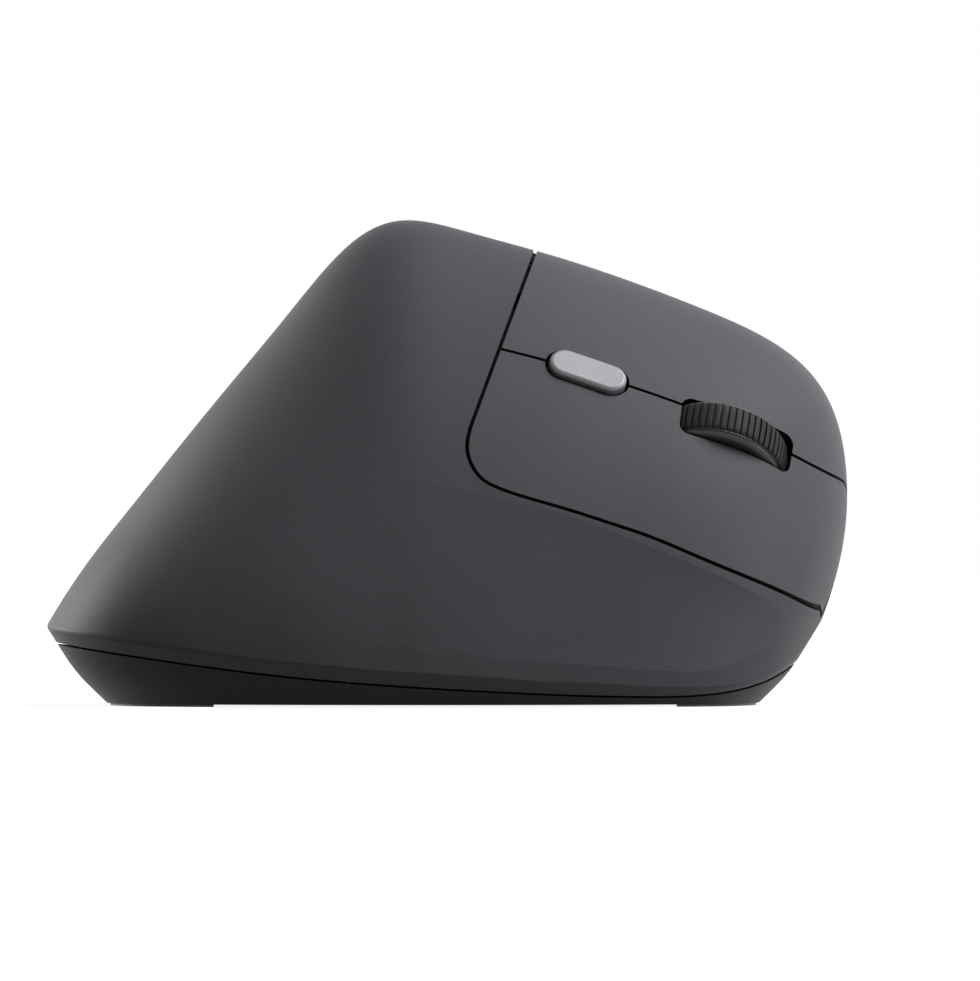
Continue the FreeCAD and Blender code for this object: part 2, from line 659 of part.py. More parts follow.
# Cover
lip_edge = max(body.Edges, key=lambda edge: edge.Length)
lipped = body.makeFillet(size("lip_round"), [lip_edge])
cover_form = lipped.common(cover_side).cut(crease_cut)
cover_shape = cover_form.cut(core)
cover_shape = cover_shape.cut(opening_prism(0, PANEL_REACH))
THUMB_LINE = ((-4.0, 44.6), (32.0, 38.8))
THUMB_SPLIT = 0.5
thumb_rise = (THUMB_LINE[1][1] - THUMB_LINE[0][1]) / (THUMB_LINE[1][0] - THUMB_LINE[0][0])


def thumb_prism(grow, start, end):
    """A round-ended strip of the thumb side, between two shares of its length."""
    first = Vector(0, THUMB_LINE[0][0] * along, THUMB_LINE[0][1] * upward)
    last = Vector(0, THUMB_LINE[1][0] * along, THUMB_LINE[1][1] * upward)
    row = (last - first).normalize()
    length = (last - first).Length
    radius = size("thumb_width") / 2 + grow
    corner = radius * 0.75
    low, high = start * length, end * length
    wire = slot_wire(high - low, 2 * radius, corner, Vector(), 0)
    face = Part.Face(wire)
    up = Vector(1, 0, 0).cross(row)
    face.Placement = Placement(first + row * (low + high) / 2, Rotation(up, row, Vector(-1, 0, 0),
                                                                        "ZYX"))
    return face.extrude(Vector(-60, 0, 0))


thumb_opening = thumb_prism(size("thumb_gap"), -0.11, 1.11)
cover_shape = cover_shape.cut(thumb_opening)
BOSSES = ((17.0, -42.5, 34.0), (-15.0, -41.5, 34.0), (15.5, 37.5, 9.0), (-15.5, 37.5, 9.0))
boss_radius = 3.0
boss_foot = 4.2
boss_gap = 0.1
screw_hole = size("screw_radius") + 0.03
cover_trim = housing_form(size("shell_wall") / 2)
bosses = []
for x, y, top in BOSSES:
    base_point = at(x, y, 0) + Vector(0, 0, boss_foot + boss_gap)
    boss = Part.makeCylinder(boss_radius, top, base_point)
    if top < 20.0:
        side = math.copysign(1, x)
        web = Part.makeBox(14.0, 2.0, top, base_point + Vector(0 if side > 0 else -14.0, -1.0, 0))
        boss = boss.fuse(web)
    bosses.append(boss.common(cover_trim))
cover_shape = cover_shape.fuse(bosses)
cover_holes = [Part.makeCylinder(screw_hole, size("screw_length"),
                                 at(x, y, 0) + Vector(0, 0, boss_foot)) for x, y, top in BOSSES]
cover_shape = cover_shape.cut(cover_holes)

# Base
# A tray: flared rim below the seam, a flat floor inside the cover's walls, bosses for the case
# screws, a box for the cell, a bay for the receiver and stands for the main board.
foot_height = size("foot_height")
floor_top = foot_height + size("floor_wall")
base_form = body.common(base_side)
base_shape = base_form.cut(core.common(slab(floor_top, FAR)))
FLOOR_FIT = 0.25
floor_plate = hull(size("shell_wall") * HULL_SLOPE + FLOOR_FIT).common(slab(foot_height, floor_top))
base_shape = base_shape.fuse(floor_plate)
base_trim = housing_form(size("shell_wall") + FLOOR_FIT)


def plain_box(low, high):
    spans = [b - a for a, b in zip(low, high)]
    return Part.makeBox(spans[0], spans[1], spans[2], Vector(*low))


def walled_box(low, high, wall, top):
    """Walls round a rectangle, standing on the floor."""
    outer = plain_box((low[0] - wall, low[1] - wall, floor_top),
                      (high[0] + wall, high[1] + wall, top))
    return outer.cut(plain_box((low[0], low[1], floor_top - 1.0), (high[0], high[1], top + 1.0)))


cell_radius = size("cell_diameter") / 2
cell_y = -size("cell_back")
cell_z = floor_top + size("cell_clearance") + cell_radius
cell_half = size("cell_length") / 2
contact_gap = 0.75
spring_room = 2.75
tray_half = cell_radius + size("cell_clearance")
tray_low = (-cell_half - spring_room, cell_y - tray_half)
tray_high = (cell_half + contact_gap, cell_y + tray_half)
RIB = 1.2
tray = walled_box(tray_low, tray_high, RIB, cell_z + 1.0)

BAY_MIDDLE = (18.6, 0.2)
bay_play = 0.4
bay_half = (size("receiver_width") / 2 + bay_play, size("receiver_length") / 2 + bay_play)
bay_low = (BAY_MIDDLE[0] - bay_half[0], BAY_MIDDLE[1] - bay_half[1])
bay_high = (BAY_MIDDLE[0] + bay_half[0], BAY_MIDDLE[1] + bay_half[1])
bay_roof = foot_height + 0.25 + size("receiver_height") + bay_play
bay = plain_box((bay_low[0] - RIB, bay_low[1] - RIB, foot_height),
                (bay_high[0] + RIB, bay_high[1] + RIB, bay_roof + RIB))
bay_hollow = plain_box((bay_low[0], bay_low[1], -1.0), (bay_high[0], bay_high[1], bay_roof))

MAIN_BOARD_MIDDLE = (-7.0, 9.0)
stand_inset = 3.0
board_half = (size("main_board_width") / 2, size("main_board_length") / 2)
stands = []
for sx in (-1, 1):
    for sy in (-1, 1):
        place = Vector(MAIN_BOARD_MIDDLE[0] + sx * (board_half[0] - stand_inset),
                       MAIN_BOARD_MIDDLE[1] + sy * (board_half[1] - stand_inset), floor_top)
        stands.append(Part.makeCylinder(stand_radius, size("main_board_lift") - floor_top, place))

base_bosses = []
base_holes = []
head_deep = 2.0
for x, y, top in BOSSES:
    place = at(x, y, 0)
    base_bosses.append(Part.makeCylinder(boss_radius + 0.6, boss_foot - foot_height,
                                         place + Vector(0, 0, foot_height)))
    base_holes.append(Part.makeCylinder(size("screw_radius") + 0.15, boss_foot + 1.0, place))
    base_holes.append(Part.makeCylinder(size("screw_head") + 0.2, foot_height + head_deep, place))

door_low = (-cell_half - 1.0, cell_y - cell_radius - 1.1)
door_high = (cell_half + 1.0, cell_y + cell_radius + 1.1)
door_open = plain_box((door_low[0], door_low[1], -1.0), (door_high[0], door_high[1], floor_top))
hinge_y = door_high[1] - size("door_gap") - size("floor_wall") / 2
hinge_z = foot_height + size("floor_wall") / 2
door_pin = 0.45
hinge_bore = Part.makeCylinder(door_pin + size("running_gap"), door_high[0] - door_low[0] + 3.0,
                               Vector(door_low[0] - 1.5, hinge_y, hinge_z), Vector(1, 0, 0))
tray_hollow = plain_box((tray_low[0], tray_low[1], floor_top), (tray_high[0], tray_high[1], 30.0))

SENSOR_PLACE = (-4.0, 6.0)
SWITCH_INSET = 7.5
SWITCH_PLACE = (-9.0, MAIN_BOARD_MIDDLE[1] + board_half[1] - SWITCH_INSET)
slider_travel = 3.0
slider_size = (3.6, 4.2)
slider_play = 0.25
sensor_hole = Part.makeCylinder(3.4, 6.0, Vector(SENSOR_PLACE[0], SENSOR_PLACE[1], -1.0))
slider_hole = plain_box((SWITCH_PLACE[0] - slider_size[0] / 2 - slider_play,
                         SWITCH_PLACE[1] - slider_size[1] / 2 - slider_play, -1.0),
                        (SWITCH_PLACE[0] + slider_size[0] / 2 + slider_play,
                         SWITCH_PLACE[1] + slider_size[1] / 2 + slider_travel + slider_play, 9.0))
base_parts = [part.common(base_trim) for part in [tray, bay] + stands]
base_shape = base_shape.fuse(base_parts + base_bosses)
base_shape = base_shape.cut([bay_hollow, door_open, tray_hollow, hinge_bore, sensor_hole,
                             slider_hole] + base_holes)

# Feet
FOOT_EDGE, FOOT_BAND = 0.5, 7.0
REAR_FOOT_FRONT, FRONT_FOOT_REAR = -34.9, 34.0


def foot_ring():
    outer = Part.Face(Part.Wire([bottom_curve(-FOOT_EDGE, 0).toShape()]))
    inner = Part.Face(Part.Wire([bottom_curve(-FOOT_EDGE - FOOT_BAND, 0).toShape()]))
    return outer.extrude(Vector(0, 0, foot_height)).cut(
        inner.extrude(Vector(0, 0, foot_height)))


ring = foot_ring()
rear_foot_shape = ring.common(plain_box((-FAR, -FAR, -1), (FAR, REAR_FOOT_FRONT * along, 1)))
front_foot_shape = ring.common(plain_box((-FAR, FRONT_FOOT_REAR * along, -1), (FAR, FAR, 1)))

# Thumb buttons
thumb_outer = closed_skin(-size("thumb_proud"))
thumb_inner = closed_skin(size("shell_wall") + 0.2)
thumb_face_x = on_skin(14.0, 41.7, from_right=False).x
key_gap = size("thumb_travel") + 0.15
side_board_x = thumb_face_x + 9.0


def thumb_cap(start, end):
    """A thumb button: a strip proud of the skin, with a stem to its push switch."""
    cap = thumb_prism(0, start, end).common(thumb_outer).cut(thumb_inner)
    middle = (start + end) / 2
    y = mix(THUMB_LINE[0][0], THUMB_LINE[1][0], middle) * along
    z = mix(THUMB_LINE[0][1], THUMB_LINE[1][1], middle) * upward
    stem_end = side_board_x - size("key_height") - size("plunger_height") - key_gap
    stem = Part.makeCylinder(1.6, stem_end - thumb_face_x - 1.0,
                             Vector(thumb_face_x + 1.0, y, z), Vector(1, 0, 0))
    return cap.fuse(stem), Vector(side_board_x, y, z)


thumb_share = size("thumb_gap") / 2 / (THUMB_LINE[1][0] - THUMB_LINE[0][0])
back_cap_shape, back_key_place = thumb_cap(-0.10, THUMB_SPLIT - thumb_share)
forward_cap_shape, forward_key_place = thumb_cap(THUMB_SPLIT + thumb_share, 1.10)
thumb_posts = []
for y, z in ((-10.9, 45.7), (38.9, 37.7)):
    post = Part.makeCylinder(1.8, 14.0, Vector(side_board_x - 14.0, y * along, z * upward),
                             Vector(1, 0, 0))
    thumb_posts.append(post.common(cover_trim))
cover_shape = cover_shape.fuse(thumb_posts)

# Sketch and feature helpers


def of_sheet(alias):
    return "dims." + alias


def new_body(name, placement=Placement()):
    made = doc.addObject("PartDesign::Body", name)
    made.Label = name
    made.Placement = placement
    return made


def new_sketch(owner, role, lift=None):
    plane = next(f for f in owner.Origin.OriginFeatures if f.Role == role)
    sketch = owner.newObject("Sketcher::SketchObject", owner.Label + "_sketch")
    sketch.AttachmentSupport = [(plane, "")]
    sketch.MapMode = "FlatFace"
    if lift is not None:
        sketch.setExpression("AttachmentOffset.Base.z", lift)
    return sketch


def bind(sketch, constraint, expression):
    index = sketch.addConstraint(constraint)
    name = "size_%d" % index
    sketch.renameConstraint(index, name)
    sketch.setExpression("Constraints." + name, expression)


def place_point(sketch, geometry, point, x, y):
    """Ties a point of the sketch to expressions for its x and y."""
    if x == "0":
        sketch.addConstraint(Sketcher.Constraint("PointOnObject", geometry, point, -2))
    else:
        bind(sketch, Sketcher.Constraint("DistanceX", -1, 1, geometry, point, 1.0), x)
    if y == "0":
        sketch.addConstraint(Sketcher.Constraint("PointOnObject", geometry, point, -1))
    else:
        bind(sketch, Sketcher.Constraint("DistanceY", -1, 1, geometry, point, 1.0), y)


def worked_out(expression):
    """The present value of an expression of sheet names."""
    text = expression
    for alias in sorted((entry[0] for entry in SIZES), key=len, reverse=True):
        text = text.replace("dims." + alias, repr(size(alias)))
    quantity = FreeCAD.Units.Quantity(text)
    return quantity.Value


def outline(sketch, corners):
    """A closed polygon whose corners are given as pairs of expressions."""
    start = sketch.GeometryCount
    points = [Vector(worked_out(x), worked_out(y), 0) for x, y in corners]
    count = len(points)
    for k in range(count):
        sketch.addGeometry(Part.LineSegment(points[k], points[(k + 1) % count]), False)
    for k in range(count):
        following = start + (k + 1) % count
        sketch.addConstraint(Sketcher.Constraint("Coincident", start + k, 2, following, 1))
        place_point(sketch, start + k, 1, *corners[k])


def rectangle(sketch, width, depth, x="0", y="0"):
    left, right = "%s - %s / 2" % (x, width), "%s + %s / 2" % (x, width)
    near_y, far_y = "%s - %s / 2" % (y, depth), "%s + %s / 2" % (y, depth)
    outline(sketch, ((left, near_y), (right, near_y), (right, far_y), (left, far_y)))


def circle(sketch, radius, x="0", y="0"):
    centre = Vector(worked_out(x), worked_out(y), 0)
    index = sketch.addGeometry(Part.Circle(centre, Vector(0, 0, 1), worked_out(radius)), False)
    bind(sketch, Sketcher.Constraint("Radius", index, 1.0), radius)
    place_point(sketch, index, 3, x, y)


def stadium(sketch, length, width):
    """A round-ended slot along the sketch's Y axis."""
    half = (worked_out(length) - worked_out(width)) / 2
    radius = worked_out(width) / 2
    far_end = sketch.addGeometry(Part.ArcOfCircle(
        Part.Circle(Vector(0, half, 0), Vector(0, 0, 1), radius), 0, math.pi), False)
    near_end = sketch.addGeometry(Part.ArcOfCircle(
        Part.Circle(Vector(0, -half, 0), Vector(0, 0, 1), radius), math.pi, 2 * math.pi), False)
    left = sketch.addGeometry(Part.LineSegment(Vector(-radius, half, 0),
                                               Vector(-radius, -half, 0)), False)
    right = sketch.addGeometry(Part.LineSegment(Vector(radius, -half, 0),
                                                Vector(radius, half, 0)), False)
    for first, second in (((far_end, 2), (left, 1)), ((left, 2), (near_end, 1)),
                          ((near_end, 2), (right, 1)), ((right, 2), (far_end, 1))):
        sketch.addConstraint(Sketcher.Constraint("Tangent", *first, *second))
    place_point(sketch, far_end, 3, "0", "(%s - %s) / 2" % (length, width))
    place_point(sketch, near_end, 3, "0", "-(%s - %s) / 2" % (length, width))
    bind(sketch, Sketcher.Constraint("Radius", far_end, 1.0), "%s / 2" % width)


def feature(owner, kind, sketch, **settings):
    made = owner.newObject("PartDesign::" + kind, owner.Label + "_" + kind.lower())
    made.Profile = sketch
    for name, value in settings.items():
        if isinstance(value, str) and name in ("Length", "Length2"):
            made.setExpression(name, value)
        else:
            setattr(made, name, value)
    return made


def revolution(owner, sketch, axis="V_Axis"):
    made = feature(owner, "Revolution", sketch)
    made.ReferenceAxis = (sketch, [axis])
    made.Angle = 360.0
    return made


def block(name, placement, width, depth, height, plungers=()):
    """A rectangular housing on its base, with round plungers on top."""
    made = new_body(name, placement)
    sketch = new_sketch(made, "XY_Plane")
    rectangle(sketch, width, depth)
    feature(made, "Pad", sketch, Length=height)
    for radius, x, y, stand in plungers:
        top = new_sketch(made, "XY_Plane", "%s - 0.2" % height)
        circle(top, radius, x, y)
        feature(made, "Pad", top, Length="%s + 0.2" % stand)
    return made


def moulded(name, shape):
    """A piece whose form follows the skin."""
    made = doc.addObject("Part::Feature", name)
    made.Label = name
    made.Shape = shape.Solids[0] if len(shape.Solids) == 1 else shape
    made.Placement = Placement()
    return made


def press_at(x, y, z, turn=Rotation()):
    return press_place.multiply(Placement(Vector(x, y, z), turn))


nodes = {}
for name, shape in (("upper_cover", cover_shape), ("base_case", base_shape),
                    ("left_click_panel", left_click_shape),
                    ("right_click_panel", right_click_shape), ("inner_frame", frame_shape),
                    ("rear_foot", rear_foot_shape), ("front_foot", front_foot_shape),
                    ("forward_button", forward_cap_shape), ("back_button", back_cap_shape)):
    nodes[name] = moulded(name, shape)

# Wheel
axle_turn = Rotation(Vector(0, 1, 0), 90)
wheel_place = press_at(0, 0, 0, axle_turn)
TREAD_BORE = "9.6"
tyre = new_body("wheel_tyre", wheel_place)
tyre_width = "(%s - 0.8)" % of_sheet("wheel_width")
profile = new_sketch(tyre, "XZ_Plane")
outer = of_sheet("wheel_radius")
outline(profile, ((TREAD_BORE, "-%s / 2" % tyre_width), ("%s - 0.75" % outer, "-%s / 2" % tyre_width),
                  ("%s - 0.15" % outer, "-%s / 2 + 0.7" % tyre_width),
                  (outer, "-0.4"), (outer, "0.4"),
                  ("%s - 0.15" % outer, "%s / 2 - 0.7" % tyre_width),
                  ("%s - 0.75" % outer, "%s / 2" % tyre_width), (TREAD_BORE, "%s / 2" % tyre_width)))
revolution(tyre, profile)
groove = new_sketch(tyre, "XZ_Plane")
rectangle(groove, "(2 * %s)" % of_sheet("rib_depth"), "(%s - 0.9)" % tyre_width, outer)
cut_groove = feature(tyre, "Pocket", groove, Length=of_sheet("rib_width"), Midplane=True)
doc.recompute()
pattern = tyre.newObject("PartDesign::PolarPattern", "tread_pattern")
pattern.Originals = [cut_groove]
pattern.Axis = (next(f for f in tyre.Origin.OriginFeatures if f.Role == "Z_Axis"), [""])
pattern.Angle = 360.0
pattern.setExpression("Occurrences", of_sheet("rib_count"))
tyre.Tip = pattern
nodes["wheel_tyre"] = tyre

hub = new_body("wheel_hub", wheel_place)
profile = new_sketch(hub, "XZ_Plane")
axle = of_sheet("axle_radius")
AXLE_NEAR, AXLE_FAR = "-5.4", "8.6"
rim = "%s / 2" % tyre_width
flange = "%s / 2" % of_sheet("wheel_width")
outline(profile, (("0", AXLE_NEAR), (axle, AXLE_NEAR), (axle, "-2.0"), ("4.0", "-2.0"),
                  ("7.0", "-%s" % flange), ("10.2", "-%s + 0.08" % flange),
                  ("%s - 1.1" % outer, "-%s" % rim), (TREAD_BORE, "-%s" % rim),
                  (TREAD_BORE, rim), ("%s - 1.1" % outer, rim),
                  ("10.2", "%s - 0.08" % flange), ("7.0", flange), ("4.0", "2.0"),
                  (axle, "2.0"), (axle, AXLE_FAR), ("0", AXLE_FAR)))
revolution(hub, profile)
nodes["wheel_hub"] = hub

CARRIAGE_INNER, CARRIAGE_WALL, CARRIAGE_ENDS = 3.7, 1.6, 12.8
carriage_low, carriage_high = -4.0, -1.2
ear_top = 2.4
frame_out = press_box((-CARRIAGE_INNER - CARRIAGE_WALL, -CARRIAGE_ENDS - 1.4, carriage_low),
                      (CARRIAGE_INNER + CARRIAGE_WALL, CARRIAGE_ENDS + 1.4, carriage_high))
frame_in = press_box((-CARRIAGE_INNER, -CARRIAGE_ENDS, carriage_low - 1),
                     (CARRIAGE_INNER, CARRIAGE_ENDS, carriage_high + 1))
carriage = frame_out.cut(frame_in)
adds = []
for low_x in (-CARRIAGE_INNER - CARRIAGE_WALL, CARRIAGE_INNER):
    adds.append(press_box((low_x, -3.0, carriage_low), (low_x + CARRIAGE_WALL, 3.0, ear_top)))
for y in (-GUIDE_Y, GUIDE_Y):
    adds.append(press_rod((0, y, carriage_low), (0, 0, 1), 2.2, carriage_high - carriage_low))
adds.append(press_box((-1.8, -20.2, carriage_low), (1.8, -GUIDE_Y, carriage_low + 1.4)))
carriage = carriage.fuse(adds).removeSplitter()
for y in (-GUIDE_Y, GUIDE_Y):
    carriage = carriage.cut(press_rod((0, y, -9), (0, 0, 1), guide_radius + size("running_gap"),
                                      20.0))
carriage = carriage.cut(press_rod((-20, 0, 0), (1, 0, 0),
                                  size("axle_radius") + size("running_gap"), 40.0))
carriage = carriage.cut(press_box((-CARRIAGE_INNER, -CARRIAGE_ENDS, -9),
                                  (CARRIAGE_INNER, CARRIAGE_ENDS, 9)))
nodes["wheel_carriage"] = moulded("wheel_carriage", carriage)

encoder = block("scroll_encoder",
                press_at(CARRIAGE_INNER + CARRIAGE_WALL, 0, -1.4, Rotation(Vector(0, 1, 0), 90)),
                "7.6", "8.6", "4.4")
bore = new_sketch(encoder, "XY_Plane")
circle(bore, "(%s + %s)" % (axle, of_sheet("running_gap")), "-1.4", "0")
feature(encoder, "Pocket", bore, Length="4.0", Reversed=True)
nodes["scroll_encoder"] = encoder

# Pivot rod, finger board and what it carries
rod = new_body("pivot_rod", press_at(-24.6, pivot_y, pivot_z, axle_turn))
sketch = new_sketch(rod, "XY_Plane")
circle(sketch, of_sheet("pivot_radius"))
feature(rod, "Pad", sketch, Length="40.8")
nodes["pivot_rod"] = rod

FINGER_BOARD_Y = -7.0
board = new_body("finger_board", press_at(0, FINGER_BOARD_Y, switch_base))
sketch = new_sketch(board, "XY_Plane")
rectangle(sketch, of_sheet("finger_board_width"), of_sheet("finger_board_length"))
feature(board, "Pad", sketch, Length=of_sheet("board_wall"), Reversed=True)
sketch = new_sketch(board, "XY_Plane")
rectangle(sketch, "(%s + 3.4)" % of_sheet("wheel_width"), "21.0", "0", "%r" % -FINGER_BOARD_Y)
feature(board, "Pocket", sketch, Length="4.0")
sketch = new_sketch(board, "XY_Plane")
for x, y in POST_PLACES:
    circle(sketch, "1.1", "%r" % x, "%r" % (y - FINGER_BOARD_Y))
feature(board, "Pocket", sketch, Length="4.0")
nodes["finger_board"] = board

for side, sign in (("left", -1), ("right", 1)):
    name = side + "_click_switch"
    nodes[name] = block(name, press_at(sign * size("switch_side"), plunger_y - 2.4, switch_base),
                        of_sheet("switch_width"), of_sheet("switch_length"),
                        of_sheet("switch_height"),
                        (("0.8", "0", "2.4", of_sheet("plunger_height")),))
key = of_sheet("key_size")
key_top = (("1.2", "0", "0", "0.5"),)
nodes["wheel_click_key"] = block("wheel_click_key", press_at(0, -18.2, switch_base), key, key,
                                 of_sheet("key_height"), key_top)
cap_local = press_local(cap_skin)
SPEED_KEY = (cap_local.x, cap_local.y - 0.6)
nodes["speed_key"] = block("speed_key", press_at(SPEED_KEY[0], SPEED_KEY[1], switch_base), key,
                           key, of_sheet("key_height"), key_top)

screw_place = [press_at(x, y, switch_base - size("board_wall")) for x, y in POST_PLACES]
board_screw = doc.addObject("Part::Feature", "board_screw_form")
head = Part.makeCylinder(1.7, 1.1, Vector(0, 0, -1.1))
board_screw.Shape = head.fuse(Part.makeCylinder(screw_bore, size("board_wall") + 5.0)).removeSplitter()
copies = []
for place in screw_place:
    copy = board_screw.Shape.copy()
    copy.Placement = place
    copies.append(copy)
nodes["board_screws"] = moulded("board_screws", Part.makeCompound(copies))

# Pointer-speed button
cap_skirt = 3.2
cap = new_body("speed_cap", cap_place)
sketch = new_sketch(cap, "XY_Plane", "-%r" % cap_skirt)
stadium(sketch, of_sheet("cap_length"), of_sheet("cap_width"))
pad = feature(cap, "Pad", sketch, Length="%r + %s" % (cap_skirt, of_sheet("cap_proud")))
doc.recompute()
rim_edges = ["Edge%d" % (k + 1) for k, edge in enumerate(cap.Shape.Edges)
             if all(abs(cap_place.inverse().multVec(v.Point).z - size("cap_proud")) < 0.01
                    for v in edge.Vertexes)]
rounding = cap.newObject("PartDesign::Fillet", "speed_cap_round")
rounding.Base = (pad, rim_edges)
rounding.Radius = 0.8
cap.Tip = rounding
doc.recompute()
stem_foot = switch_base + size("key_height") + 0.5 + size("cap_travel") + 0.15
cap_shape = cap.Shape.fuse(press_rod((SPEED_KEY[0], SPEED_KEY[1], stem_foot), (0, 0, 1), 1.3,
                                     cap_local.z - 1.6 - stem_foot))
nodes["speed_button"] = moulded("speed_button", cap_shape)

# Thumb board
thumb_middle = (forward_key_place + back_key_place) * 0.5
thumb_row = (forward_key_place - back_key_place).normalize()
thumb_up = Vector(1, 0, 0).cross(thumb_row)
thumb_turn = Rotation(thumb_up, thumb_row, Vector(-1, 0, 0), "ZYX")
board = new_body("thumb_board", Placement(thumb_middle, thumb_turn))
sketch = new_sketch(board, "XY_Plane")
rectangle(sketch, "9.0", "54.0")
feature(board, "Pad", sketch, Length=of_sheet("board_wall"), Reversed=True)
nodes["thumb_board"] = board
for name, place in (("forward_key", forward_key_place), ("back_key", back_key_place)):
    nodes[name] = block(name, Placement(place, thumb_turn), key, key, of_sheet("key_height"),
                        (("1.2", "0", "0", of_sheet("plunger_height")),))

# Main board and sensor
main_z = size("main_board_lift")
nodes["main_board"] = block("main_board", Placement(Vector(MAIN_BOARD_MIDDLE[0],
                                                           MAIN_BOARD_MIDDLE[1], main_z),
                                                    Rotation()),
                            of_sheet("main_board_width"), of_sheet("main_board_length"),
                            of_sheet("board_wall"))
sensor_at = Vector(SENSOR_PLACE[0], SENSOR_PLACE[1], 0)
lens_top = 3.1
lens = block("sensor_lens", Placement(sensor_at + Vector(0, 0, floor_top), Rotation()), "9.6",
             "14.0", "%r" % (lens_top - floor_top))
sketch = new_sketch(lens, "XY_Plane")
circle(sketch, "2.9")
feature(lens, "Pad", sketch, Length="0.9", Reversed=True)
nodes["sensor_lens"] = lens
nodes["sensor_chip"] = block("sensor_chip",
                             Placement(sensor_at + Vector(0, 0, lens_top), Rotation()), "8.8",
                             "11.4", "%r" % (main_z - lens_top))
nodes["radio_chip"] = block("radio_chip",
                            Placement(Vector(MAIN_BOARD_MIDDLE[0] + 3.0, 19.0,
                                             main_z + size("board_wall")), Rotation()), "6.0",
                            "6.0", "0.9")
slide = block("power_switch", Placement(Vector(SWITCH_PLACE[0], SWITCH_PLACE[1], floor_top + 0.1),
                                        Rotation()), "6.2", "6.6", "1.0")
sketch = new_sketch(slide, "XY_Plane")
rectangle(sketch, "%r" % slider_size[0], "%r" % slider_size[1])
feature(slide, "Pad", sketch, Length="%r" % (floor_top + 0.1 - foot_height - 0.15), Reversed=True)
nodes["power_switch"] = slide
nodes["power_switch_body"] = block("power_switch_body",
                                   Placement(Vector(SWITCH_PLACE[0],
                                                    SWITCH_PLACE[1] + slider_travel / 2, 3.3),
                                             Rotation()), "6.0", "10.0", "%r" % (main_z - 3.3))

# Cell, contacts and battery door
cell_place = Placement(Vector(-cell_half, cell_y, cell_z), axle_turn)
cell = new_body("aa_cell", cell_place)
profile = new_sketch(cell, "XZ_Plane")
radius = "%s / 2" % of_sheet("cell_diameter")
length = of_sheet("cell_length")
outline(profile, (("0", "0"), ("4.6", "0"), ("%s - 0.5" % radius, "0.3"), (radius, "0.9"),
                  (radius, "%s - 2.0" % length), ("%s - 0.8" % radius, "%s - 1.2" % length),
                  ("2.8", "%s - 1.2" % length), ("2.6", length), ("0", length)))
revolution(cell, profile)
nodes["aa_cell"] = cell
plate_wall = 0.4
nodes["plus_contact"] = block("plus_contact",
                              Placement(Vector(tray_high[0], cell_y, cell_z - 0.5),
                                        Rotation(Vector(0, 1, 0), -90)), "11.0", "10.0",
                              "%r" % plate_wall)
minus = new_body("minus_spring", Placement(Vector(tray_low[0], cell_y, cell_z), axle_turn))
sketch = new_sketch(minus, "XY_Plane")
rectangle(sketch, "11.0", "10.0")
feature(minus, "Pad", sketch, Length="%r" % plate_wall)
cone = new_sketch(minus, "XZ_Plane")
outline(cone, (("2.6", "%r" % (plate_wall - 0.1)), ("4.4", "%r" % (plate_wall - 0.1)),
               ("3.4", "%r" % (spring_room - 0.05)), ("2.2", "%r" % (spring_room - 0.05))))
revolution(minus, cone)
nodes["minus_spring"] = minus

door = new_body("battery_door", Placement(Vector(0, hinge_y, hinge_z), Rotation()))
side = new_sketch(door, "YZ_Plane")
half_wall = "%s / 2" % of_sheet("floor_wall")
reach = hinge_y - door_low[1] - size("door_gap")
outline(side, (("-%r" % reach, "-%s" % half_wall), ("0", "-%s" % half_wall), ("0", half_wall),
               ("-%r" % reach, half_wall)))
door_long = door_high[0] - door_low[0] - 2 * size("door_gap")
feature(door, "Pad", side, Length="%r" % door_long, Midplane=True)
edge = new_sketch(door, "YZ_Plane")
circle(edge, half_wall)
feature(door, "Pad", edge, Length="%r" % door_long, Midplane=True)
pins = new_sketch(door, "YZ_Plane")
circle(pins, "%r" % door_pin)
feature(door, "Pad", pins, Length="%r" % (door_long + 2.6), Midplane=True)
grip = new_sketch(door, "XY_Plane", "-%s" % half_wall)
rectangle(grip, "12.0", "2.4", "0", "-%r" % (reach - 2.4))
feature(door, "Pocket", grip, Length="0.6", Reversed=True)
nodes["battery_door"] = door

# Receiver and case screws
receiver = new_body("usb_receiver", Placement(Vector(BAY_MIDDLE[0], BAY_MIDDLE[1],
                                                     foot_height + 0.25), Rotation()))
CAP_SHARE = "6.7"
sketch = new_sketch(receiver, "XY_Plane")
rectangle(sketch, of_sheet("receiver_width"), CAP_SHARE, "0",
          "(%s - %s) / 2" % (of_sheet("receiver_length"), CAP_SHARE))
feature(receiver, "Pad", sketch, Length=of_sheet("receiver_height"))
sketch = new_sketch(receiver, "XY_Plane", "(%s - 4.5) / 2" % of_sheet("receiver_height"))
rectangle(sketch, "12.0", "(%s - 6.2)" % of_sheet("receiver_length"), "0", "-3.1")
feature(receiver, "Pad", sketch, Length="4.5")
nodes["usb_receiver"] = receiver

case_screw = doc.addObject("Part::Feature", "case_screw_form")
head = Part.makeCone(size("screw_head"), size("screw_head") - 0.3, 1.4, Vector(0, 0, head_deep - 1.4))
shank = Part.makeCylinder(size("screw_radius"), size("screw_length") - 0.3, Vector(0, 0, head_deep))
case_screw.Shape = head.fuse(shank).removeSplitter()
copies = []
for x, y, top in BOSSES:
    copy = case_screw.Shape.copy()
    copy.Placement = Placement(at(x, y, 0) + Vector(0, 0, foot_height), Rotation())
    copies.append(copy)
nodes["case_screws"] = moulded("case_screws", Part.makeCompound(copies))

